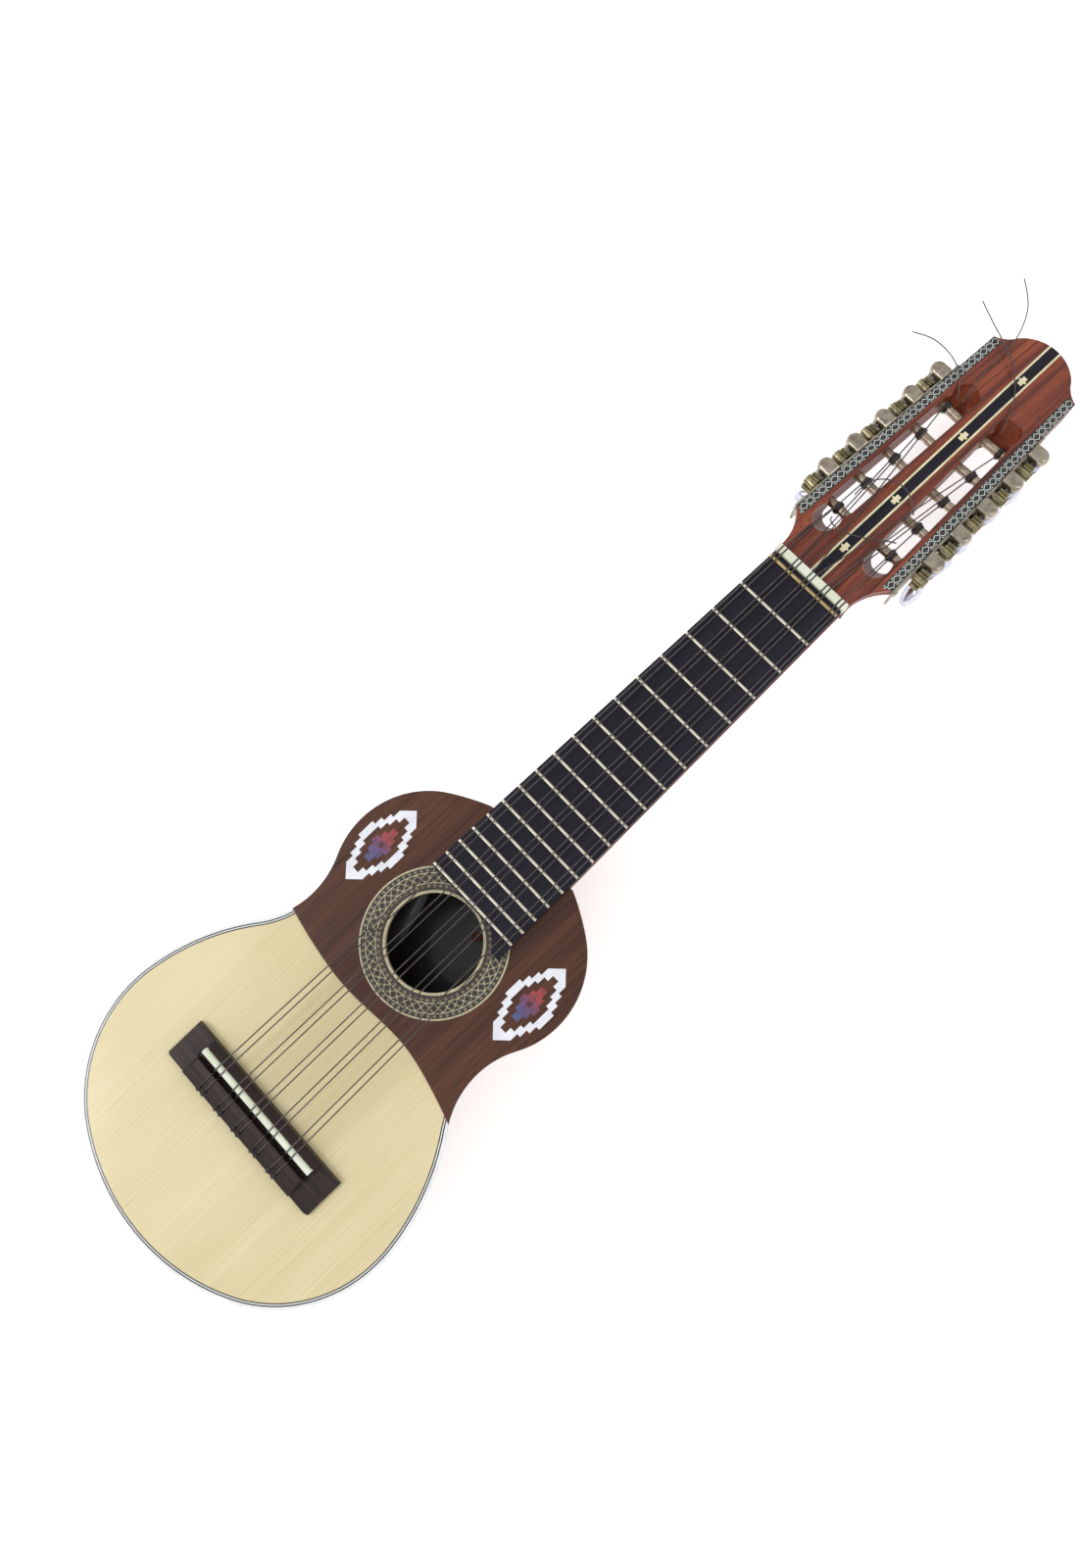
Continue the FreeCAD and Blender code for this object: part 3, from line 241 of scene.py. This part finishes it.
def metal(name, bright, dull, roughness, wear, brushed=(1.0, 1.0, 1.0)):
    """Plated or cast metal: brushed fine lines, tarnish in patches and duller gloss there."""
    f = Finish(name, Metallic=1.0)
    place = f.place()
    patches = f.noise(place, 260.0, detail=4.0, roughness=0.65)
    tarnish = f.remap(patches, 0.42, 0.7, 0.0, wear)
    f.colour(f.blend(tarnish, bright, dull))
    lines = f.noise(f.scaled(place, tuple(2400.0 * share for share in brushed)), detail=2.0)
    shine = f.remap(lines, 0.3, 0.7, roughness * 0.8, roughness * 1.3)
    f.rough(f.math("MULTIPLY_ADD", tarnish, 0.25, shine))
    f.bump(lines, 0.00002, 0.35, METAL_EDGE)
    return f.material


def rosette_finish():
    """Rings of wood mosaic round the soundhole: pale lines, small diamonds and a woven middle band."""
    f = Finish("mosaic_rings", **lacquer(0.6))
    x, y, _ = f.axes(f.centred(SOUNDHOLE))
    radius = f.math("SQRT", f.math("ADD", f.math("MULTIPLY", x, x), f.math("MULTIPLY", y, y)))
    radius = f.math("MULTIPLY", radius, 1000.0)
    turn = f.math("DIVIDE", f.math("ARCTAN2", y, x), 2 * math.pi)
    weave_count, weave_centre, weave_height, weave_line = 46, 32.5, 2.4, 0.13

    def cell(count, slant=0.0):
        """Distance from the middle of a repeated cell round the ring, from 0 to 0.5."""
        phase = f.math("MULTIPLY", turn, float(count))
        if slant:
            lean = f.math("DIVIDE", f.math("SUBTRACT", radius, weave_centre), weave_height)
            phase = f.math("MULTIPLY_ADD", lean, slant, phase)
        share = f.math("FRACT", f.math("ADD", phase, 64.0))
        return f.math("ABSOLUTE", f.math("SUBTRACT", share, 0.5))

    def inside(value, low, high):
        return f.math("MULTIPLY", f.math("GREATER_THAN", value, low), f.math("LESS_THAN", value, high))

    def row_of_diamonds(count, centre, height):
        away = f.math("DIVIDE", f.math("ABSOLUTE", f.math("SUBTRACT", radius, centre)), height)
        return f.math("LESS_THAN", f.math("ADD", f.math("MULTIPLY", cell(count), 2.4), away), 0.8)

    cream, straw = rgb(184, 176, 146), rgb(122, 114, 88)
    dark, brown = rgb(24, 20, 18), rgb(54, 38, 29)
    first = f.math("LESS_THAN", cell(weave_count, 0.5), weave_line)
    second = f.math("LESS_THAN", cell(weave_count, -0.5), weave_line)
    both = f.math("MULTIPLY", first, second)
    either = f.math("MAXIMUM", first, second)
    lattice = f.blend(either, dark, straw)
    lattice = f.blend(both, lattice, cream)
    border = f.blend(row_of_diamonds(72, 36.4, 1.2), dark, straw)
    inner = f.blend(row_of_diamonds(58, 28.5, 1.35), brown, straw)
    colour = f.blend(inside(radius, 30.1, 34.9), dark, lattice)
    colour = f.blend(inside(radius, 35.2, 37.5), colour, border)
    colour = f.blend(inside(radius, 26.9, 29.8), colour, inner)
    for low, high in ((24.0, 26.3), (29.75, 30.15), (34.9, 35.3), (37.6, 38.5)):
        colour = f.blend(inside(radius, low, high), colour, cream)
    tone = f.noise(f.place(), 900.0, detail=3.0)
    mottle = f.ramp(tone, [(0.3, rgb(90, 80, 66)), (0.7, rgb(230, 222, 200))])
    f.colour(f.blend(0.35, colour, mottle, "OVERLAY"))
    f.rough(f.remap(tone, 0.3, 0.7, 0.28, 0.42))
    f.bump(f.math("MULTIPLY", tone, 0.3), 0.00004, 0.4)
    return f.material


def strip_finish():
    """Woven edge strip of the head: a chain of dark diamonds between pale zigzag lines.

    All measures are in millimetres along the head and across the strip.
    """
    f = Finish("woven_strip", **lacquer(0.5))
    strip_start, strip_run, narrowing = 23.0, 146.5, 4.8
    start_middle = 33.1 - 2.65
    diamond, diamond_shift, diamond_waist, diamond_swing = 4.46, 33.16, 0.3, 1.55
    pair_length, pair_shift = 8.92, 55.46
    line_half, triangle_from, core_to, rim_from = 0.19, 0.8, -1.05, 2.35

    x, y, _ = f.axes(f.moved(f.place(), tuple(-HEAD_ORIGIN)))
    along = f.math("MULTIPLY", x, 1000.0 / math.cos(HEAD_TILT))
    side = f.math("MULTIPLY", f.math("ABSOLUTE", y), 1000.0)
    from_start = f.math("SUBTRACT", along, strip_start)
    middle = f.math("MULTIPLY_ADD", from_start, -narrowing / strip_run, start_middle)
    away = f.math("ABSOLUTE", f.math("SUBTRACT", side, middle))
    phase = f.math("FRACT", f.math("DIVIDE", f.math("ADD", along, diamond_shift), diamond))
    saw = f.math("MULTIPLY", f.math("ABSOLUTE", f.math("SUBTRACT", phase, 0.5)), 2.0)
    reach = f.math("MULTIPLY_ADD", saw, diamond_swing, diamond_waist)
    distance = f.math("SUBTRACT", away, reach)
    line = f.math("LESS_THAN", f.math("ABSOLUTE", distance), line_half)
    outside = f.math("GREATER_THAN", distance, triangle_from)
    pair = f.math("FRACT", f.math("DIVIDE", f.math("ADD", along, pair_shift), pair_length))
    pale = f.math("LESS_THAN", f.math("ABSOLUTE", f.math("SUBTRACT", pair, 0.5)), 0.25)
    core = f.math("LESS_THAN", distance, core_to)
    rim = f.math("GREATER_THAN", away, rim_from)
    colour = f.blend(f.math("MULTIPLY", outside, pale), rgb(10, 11, 12), rgb(156, 158, 152))
    colour = f.blend(core, colour, rgb(26, 32, 34))
    colour = f.blend(line, colour, rgb(226, 229, 223))
    colour = f.blend(rim, colour, rgb(34, 34, 32))
    tone = f.noise(f.place(), 1400.0, detail=3.0)
    mottle = f.ramp(tone, [(0.3, rgb(70, 70, 70)), (0.7, rgb(230, 230, 225))])
    f.colour(f.blend(0.15, colour, mottle, "OVERLAY"))
    f.rough(f.remap(tone, 0.3, 0.7, 0.3, 0.45))
    f.bump(f.math("MAXIMUM", line, f.math("MULTIPLY", tone, 0.3)), 0.00005, 0.4)
    return f.material


def tiles_finish():
    """Coloured tiles that pass from blue at the tail to red at the head, each a shade of its own."""
    f = Finish("dyed_tiles", **lacquer(0.6))
    half_field, tile_length, tile_width, centre_tile = 0.0105, 0.0021, 0.0019, 0.055
    x, y, _ = f.axes(f.centred(TILES_CENTRE))
    along = f.remap(x, -half_field, half_field)
    colour = f.ramp(along, [
        (0.0, rgb(66, 86, 128)), (0.25, rgb(84, 76, 134)), (0.5, rgb(112, 58, 96)),
        (0.72, rgb(170, 56, 62)), (1.0, rgb(150, 44, 30)),
    ])
    column = f.math("FLOOR", f.math("DIVIDE", x, tile_length))
    row = f.math("FLOOR", f.math("DIVIDE", y, tile_width))
    number = f.joined(column, row, 0.0)
    shade = f.node("TexWhiteNoise", {0: number}, noise_dimensions="3D").outputs[0]
    colour = f.blend(f.remap(shade, 0.0, 1.0, 0.0, 0.5), colour, rgb(74, 44, 48))
    off_centre = f.math("SUBTRACT", f.math("ABSOLUTE", y), centre_tile)
    near_x = f.math("LESS_THAN", f.math("ABSOLUTE", x), 0.0015)
    near_y = f.math("LESS_THAN", f.math("ABSOLUTE", off_centre), 0.0012)
    colour = f.blend(f.math("MULTIPLY", near_x, near_y), colour, rgb(70, 22, 34))
    fibre = f.noise(f.scaled(f.place(), (60.0, 1500.0, 1500.0)), detail=2.0)
    mottle = f.ramp(fibre, [(0.3, rgb(80, 80, 80)), (0.7, rgb(200, 200, 200))])
    f.colour(f.blend(0.3, colour, mottle, "OVERLAY"))
    f.rough(f.remap(fibre, 0.3, 0.7, 0.3, 0.45))
    f.bump(fibre, 0.00003, 0.4)
    return f.material


def purfling_finish():
    """Edge lines of dyed wood."""
    f = Finish("dyed_lines", **lacquer(0.6))
    fibre = f.noise(f.place(), 900.0, detail=3.0)
    f.colour(f.ramp(fibre, [(0.3, rgb(12, 11, 11)), (0.7, rgb(28, 26, 26))]))
    f.rough(f.remap(fibre, 0.3, 0.7, 0.28, 0.4))
    f.bump(fibre, 0.00002, 0.3)
    return f.material


FINISHES = {
    "spruce": wood(
        "spruce_top",
        [rgb(190, 174, 128), rgb(205, 190, 145), rgb(215, 201, 159), rgb(224, 210, 173)],
        (1100.0, 0.32), 0.004, (0.3, 2800.0), (0.08, 1100.0), 1.1, (0.36, 0.05), coat=0.25,
    ),
    "dark_plate": wood(
        "walnut_plate", [rgb(42, 21, 12), rgb(66, 36, 22), rgb(83, 48, 31), rgb(100, 62, 41)],
        (210.0, 0.5), 0.02, (0.5, 1500.0), (0.75, 1100.0), 0.6, (0.4, 0.08),
        edge=0.0006, coat=0.1, shine=0.3,
    ),
    "body_wood": wood(
        "carved_wood", [rgb(70, 42, 28), rgb(104, 66, 42), rgb(128, 84, 54), rgb(146, 100, 66)],
        (240.0, 0.5), 0.03, (0.45, 1500.0), (0.6, 1100.0), 0.7, (0.36, 0.08),
        # painted shade: near-black colour for the inside of the body
        coat=0.3, inside_shade=rgb(30, 21, 16),
    ),
    "neck_wood": wood(
        "neck_cedar", [rgb(78, 34, 21), rgb(112, 52, 33), rgb(134, 68, 44), rgb(150, 84, 56)],
        (260.0, 0.5), 0.02, (0.5, 1500.0), (0.55, 1200.0), 0.6, (0.44, 0.08),
        edge=0.0008, coat=0.04, shine=0.2,
    ),
    "face_wood": wood(
        "head_veneer_wood", [rgb(60, 22, 13), rgb(100, 41, 25), rgb(132, 60, 36), rgb(156, 82, 49)],
        (330.0, 0.8), 0.016, (0.4, 1600.0), (0.7, 1300.0), 0.5, (0.36, 0.08),
        edge=0.0006, coat=0.15, shine=0.4,
    ),
    "rosewood": wood(
        "bridge_rosewood", [rgb(17, 9, 8), rgb(30, 18, 16), rgb(41, 26, 22), rgb(56, 37, 31)],
        (330.0, 0.6), 0.01, (0.5, 1800.0), (0.7, 1300.0), 0.4, (0.32, 0.08),
        order="YXZ", edge=0.0007, coat=0.1, shine=0.3,
    ),
    "ebony": wood(
        "board_ebony", [rgb(17, 15, 23), rgb(25, 23, 33), rgb(31, 28, 40), rgb(40, 37, 49)],
        (300.0, 0.4), 0.01, (0.5, 1800.0), (0.6, 1500.0), 0.4, (0.46, 0.08),
        edge=0.0005, coat=0.0, shine=0.2,
    ),
    "mosaic": rosette_finish(),
    "zigzag_strip": strip_finish(),
    "coloured_inlay": tiles_finish(),
    "black_lines": purfling_finish(),
    "ivory_plastic": plain(
        "ivory_binding", rgb(224, 222, 220), rgb(238, 237, 235), 0.3, 500.0, 0.00002, edge=0.0006,
        Subsurface_Weight=0.08, Coat_Weight=0.4, Coat_Roughness=0.1,
    ),
    "white_inlay": plain(
        "white_inlay_plastic", rgb(214, 214, 222), rgb(232, 232, 238), 0.28, 500.0, 0.00002,
        Coat_Weight=0.5, Coat_Roughness=0.08,
    ),
    "cream_inlay": plain(
        "cream_line_wood", rgb(208, 196, 152), rgb(228, 220, 182), 0.34, 700.0, 0.00003,
        Coat_Weight=0.4, Coat_Roughness=0.1,
    ),
    "bone": plain(
        "bone_white", rgb(206, 208, 184), rgb(224, 224, 206), 0.4, 300.0, 0.00004, edge=0.0004,
        Subsurface_Weight=0.1, Coat_Weight=0.15, Coat_Roughness=0.2,
    ),
    "nickel_silver": metal(
        "fret_nickel", rgb(226, 220, 204), rgb(176, 168, 142), 0.3, 0.4, (1.0, 0.1, 1.0),
    ),
    "brass_wire": metal(
        "fret_brass", rgb(190, 168, 124), rgb(128, 104, 72), 0.32, 0.5, (1.0, 0.1, 1.0),
    ),
    "gear_brass": metal(
        "gear_brass_cut", rgb(176, 167, 134), rgb(98, 90, 66), 0.32, 0.9,
    ),
    "roller_steel": metal(
        "roller_plated", rgb(186, 170, 150), rgb(104, 88, 76), 0.3, 0.8, (1.0, 0.15, 1.0),
    ),
    "nickel_plate": metal(
        "side_plate_nickel", rgb(178, 168, 152), rgb(104, 94, 80), 0.22, 0.8, (0.1, 1.0, 1.0),
    ),
    "key_pearl": metal(
        "key_chrome", rgb(212, 212, 226), rgb(140, 136, 150), 0.16, 0.5,
    ),
    "nylon": plain(
        "string_nylon", rgb(44, 38, 36), rgb(68, 60, 56), 0.3, 900.0, 0.00001,
        Coat_Weight=0.3, Coat_Roughness=0.12,
    ),
}
KNOT = plain(
    "string_windings", rgb(30, 26, 29), rgb(52, 45, 47), 0.32, 900.0, 0.00001,
    Coat_Weight=0.3, Coat_Roughness=0.15,
)


def dress_nodes():
    """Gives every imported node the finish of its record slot."""
    for part in frame["record"]["subparts"]:
        shape = NODES[part["node"]]
        finish = FINISHES[part["material_slot"]]
        shape.data.materials.clear()
        shape.data.materials.append(finish)


dress_nodes()


# ---------------------------------------------------------------- free string ends

# control points of each free end on the head, in millimetres along, across and above its face
TAIL_ROUTES = {
    "string_tail_1": [
        (129.0, 17.0, -3.6), (134.0, 21.0, 1.6), (138.5, 27.0, 3.4), (141.5, 35.0, 4.2),
        (142.0, 43.5, 5.0), (140.0, 51.5, 6.0), (135.0, 58.5, 7.0),
    ],
    "string_tail_2": [
        (130.5, -12.5, -2.6), (136.0, -9.5, 2.2), (147.0, -5.0, 1.8), (156.5, 3.0, 1.8),
        (163.5, 12.5, 2.8), (168.5, 23.0, 3.4), (172.5, 34.0, 3.8), (177.0, 45.5, 5.2),
    ],
    "string_tail_3": [
        (130.0, 14.0, -3.0), (136.5, 15.2, 1.8), (149.0, 17.4, 1.5), (162.0, 17.0, 1.3),
        (175.0, 18.2, 1.8), (188.0, 23.0, 3.0), (197.0, 30.0, 4.5), (202.5, 39.0, 6.0),
    ],
    "string_tail_4": [
        (50.0, 17.1, -3.2), (56.5, 17.3, 1.6), (64.5, 11.5, 3.6), (67.8, 2.5, 3.8),
        (66.3, -6.0, 3.0), (60.5, -12.5, 1.6),
    ],
    "string_tail_5": [
        (31.5, 16.3, -1.6), (27.0, 15.9, 2.9), (25.0, 9.5, 4.6), (27.5, 2.0, 4.9),
        (32.0, -5.0, 4.6), (37.5, -11.0, 4.2), (42.0, -17.0, 2.9),
    ],
}
STRING_RADIUS = 0.35 * MM


def smooth_line(name, points, radius, material):
    """Round line along a quadratic NURBS spline whose control points are given in the row frame."""
    curve = bpy.data.curves.new(name, "CURVE")
    curve.dimensions = "3D"
    curve.resolution_u = 10
    curve.bevel_depth = radius
    curve.bevel_resolution = 3
    curve.use_fill_caps = True
    spline = curve.splines.new("NURBS")
    spline.points.add(len(points) - 1)
    for point, target in zip(spline.points, points):
        point.co = (*target, 1.0)
    spline.order_u = 3
    spline.use_endpoint_u = True
    curve.materials.append(material)
    line = bpy.data.objects.new(name, curve)
    bpy.context.scene.collection.objects.link(line)
    return line


def make_tails():
    for name, route in TAIL_ROUTES.items():
        points = [head_point(*place) for place in route]
        tail = smooth_line("free_" + name, points, STRING_RADIUS, FINISHES["nylon"])
        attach(tail, "root")
        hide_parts(name)


make_tails()


# ---------------------------------------------------------------- string windings and ties

# where the string reaches each roller, in millimetres from the cheek of its slot
WINDINGS = {
    "b1": 5.0, "b2": 5.0, "b3": 5.0, "b4": 4.0, "b5": 2.6,
    "t1": 5.0, "t2": 5.0, "t3": 5.0, "t4": 4.0, "t5": 2.6,
}
CHEEK = 8.0  # from the joint's place to the cheek, in millimetres
FIRST_TURN = 1.0  # from the first turn to the string, in millimetres
ROLLER_RADIUS = 2.5
WINDING_RADIUS = 0.34
SPREAD = 0.74  # advance of one turn, in millimetres
WIDE_SLOT = 3.0  # a string further than this from the cheek has five turns, the others four
OUTER_LIFT = 0.6  # from the first layer up to the second, in millimetres
OUTER_TURNS = 2.6
OUTER_START = 1.2  # how many turns before the first layer's end the second one starts
OUTER_SPREAD = 0.8  # advance of the second layer as a share of the first layer's
STEPS_PER_TURN = 14


def make_windings():
    """Turns of string round every roller: a full layer, and a shorter one that runs back over it."""
    for label, inside in WINDINGS.items():
        joint = JOINTS["roller_turn_" + label]
        axis = Vector(joint["axis"]).normalized()
        inward = -1.0 if label[0] == "b" else 1.0
        start = Vector(joint["pos_m"]) + axis * inward * (CHEEK + inside - FIRST_TURN) * MM
        ahead = HEAD_FRAME.to_3x3() @ Vector((1.0, 0.0, 0.0))
        ahead = (ahead - axis * ahead.dot(axis)).normalized()
        up = axis.cross(ahead) if axis.cross(ahead).z > 0 else -axis.cross(ahead)
        turns = 5 if inside > WIDE_SLOT else 4
        points = []
        for step in range(turns * STEPS_PER_TURN):
            angle = 2 * math.pi * step / STEPS_PER_TURN
            radius = (ROLLER_RADIUS + WINDING_RADIUS) * MM
            along = axis * inward * SPREAD * step / STEPS_PER_TURN * MM
            points.append(start + along + (ahead * math.cos(angle) + up * math.sin(angle)) * radius)
        back = turns - OUTER_START
        for step in range(int(OUTER_TURNS * STEPS_PER_TURN)):
            angle = 2 * math.pi * step / STEPS_PER_TURN
            radius = (ROLLER_RADIUS + WINDING_RADIUS + OUTER_LIFT) * MM
            along = axis * inward * (back - OUTER_SPREAD * step / STEPS_PER_TURN) * SPREAD * MM
            points.append(start + along + (ahead * math.cos(angle) + up * math.sin(angle)) * radius)
        winding = smooth_line("winding_" + label, points, WINDING_RADIUS * MM, KNOT)
        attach(winding, "roller_" + label)


COURSE_STEP = 13.4
PAIR_HALF = 1.8
# places of the ten strings across the bridge, in millimetres
TIE_PLACES = [
    course * COURSE_STEP + side * PAIR_HALF for course in (2, 1, 0, -1, -2) for side in (1, -1)
]
TIE_FRONT, TIE_RUN = -62.0, 12.0  # where the loops start along the body, and how far they run
TIE_LEAN = 0.5  # greatest sideways lean of a loop over that run, in millimetres
TIE_RADIUS = 0.33
# string over the tie block, in millimetres along the body and above the rest face
TIE_LOOP = [
    (-61.9, 76.3), (-61.9, 78.9), (-62.1, 80.3), (-63.4, 80.5), (-66.5, 80.4), (-70.5, 79.2),
    (-73.4, 78.3), (-74.1, 77.5), (-74.0, 76.3), (-73.2, 76.2),
]
# twist at the back of each loop: its start along the body and above the rest face, its advance in
# one step and the slope it follows, and its half width, half height and lift, in millimetres
KNOT_RADIUS = 0.3
KNOT_BACK, KNOT_FOOT = -73.0, 78.75
KNOT_ADVANCE, KNOT_SLOPE = 0.09, 0.28
KNOT_WIDE, KNOT_TALL, KNOT_LIFT = 0.62, 0.5, 0.25
KNOT_STEPS, KNOT_STEPS_PER_TURN = 26, 9.0


def make_ties():
    """Each string's loop over the tie block, with a small twist at its back edge."""
    chance = random.Random(5)
    for number, across in enumerate(TIE_PLACES, start=1):
        lean = chance.uniform(-TIE_LEAN, TIE_LEAN)
        points = []
        for x, z in TIE_LOOP:
            points.append(Vector((x, across + lean * (TIE_FRONT - x) / TIE_RUN, z)) * MM)
        loop = smooth_line("tie_%d" % number, points, TIE_RADIUS * MM, FINISHES["nylon"])
        twist = []
        for step in range(KNOT_STEPS):
            angle = 2 * math.pi * step / KNOT_STEPS_PER_TURN
            x = KNOT_BACK + KNOT_ADVANCE * step
            z = KNOT_FOOT + KNOT_SLOPE * (x - KNOT_BACK) + KNOT_TALL * math.sin(angle) + KNOT_LIFT
            y = across + lean * (TIE_FRONT - x) / TIE_RUN + KNOT_WIDE * math.cos(angle)
            twist.append(Vector((x, y, z)) * MM)
        knot = smooth_line("tie_knot_%d" % number, twist, KNOT_RADIUS * MM, KNOT)
        for piece in (loop, knot):
            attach(piece, "root")


make_windings()
make_ties()


# ---------------------------------------------------------------- camera, light and floor

# the photo's camera as fitted, in the row frame: lens and sensor in millimetres, place in metres
LENS, SENSOR = 25.99, 36.0
CAMERA_PLACE = (0.13044, -0.07776, 0.63822)
CAMERA_RIGHT = Vector((0.72052, -0.68776, -0.08849))
CAMERA_UP = Vector((0.69213, 0.70548, 0.15246))
CAMERA_FORWARD = Vector((0.04243, 0.1711, -0.98434))
WORLD_STRENGTH = 0.75
FLOOR_REACH = 4.0
FLOOR_DROP = 0.0005


def make_camera():
    data = bpy.data.cameras.new("camera")
    data.lens = LENS
    data.sensor_width = SENSOR
    camera = bpy.data.objects.new("camera", data)
    turn = Matrix((CAMERA_RIGHT, CAMERA_UP, -CAMERA_FORWARD)).transposed().to_4x4()
    camera.matrix_world = Matrix.Translation(CAMERA_PLACE) @ turn
    bpy.context.scene.collection.objects.link(camera)
    bpy.context.scene.camera = camera


def make_light(name, place, target, size, power, colour=(1.0, 1.0, 1.0)):
    data = bpy.data.lights.new(name, "AREA")
    data.shape = "RECTANGLE"
    data.size, data.size_y = size
    data.energy = power
    data.color = colour
    lamp = bpy.data.objects.new(name, data)
    lamp.location = place
    lamp.rotation_mode = "QUATERNION"
    lamp.rotation_quaternion = (Vector(target) - Vector(place)).to_track_quat("-Z", "Y")
    bpy.context.scene.collection.objects.link(lamp)


def make_studio():
    world = bpy.data.worlds.new("studio")
    world.use_nodes = True
    background = world.node_tree.nodes["Background"]
    background.inputs[0].default_value = (1.0, 1.0, 1.0, 1.0)
    background.inputs[1].default_value = WORLD_STRENGTH
    bpy.context.scene.world = world
    make_light(
        "window", place=(-0.9, 0.9, 1.4), target=(0.1, 0.0, 0.07), size=(1.0, 1.0), power=16.0,
        colour=(0.96, 0.98, 1.0),
    )
    make_light("fill", place=(0.9, -1.2, 1.3), target=(0.2, 0.0, 0.07), size=(1.2, 1.2), power=8.0)
    floor_mesh = bpy.data.meshes.new("floor")
    corners = [
        (FLOOR_REACH * x, FLOOR_REACH * y, 0.0) for x, y in ((-1, -1), (1, -1), (1, 1), (-1, 1))
    ]
    floor_mesh.from_pydata(corners, [], [(0, 1, 2, 3)])
    floor = bpy.data.objects.new("floor", floor_mesh)
    floor.location.z = -FLOOR_DROP
    floor_mesh.materials.append(plain(
        "floor_paper", rgb(250, 250, 250), rgb(253, 253, 253), 0.7, 40.0, 0.0001,
        Emission_Color=(1.0, 1.0, 1.0, 1.0), Emission_Strength=0.4,
    ))
    bpy.context.scene.collection.objects.link(floor)
    bpy.context.scene.view_settings.view_transform = "Standard"


make_camera()
make_studio()
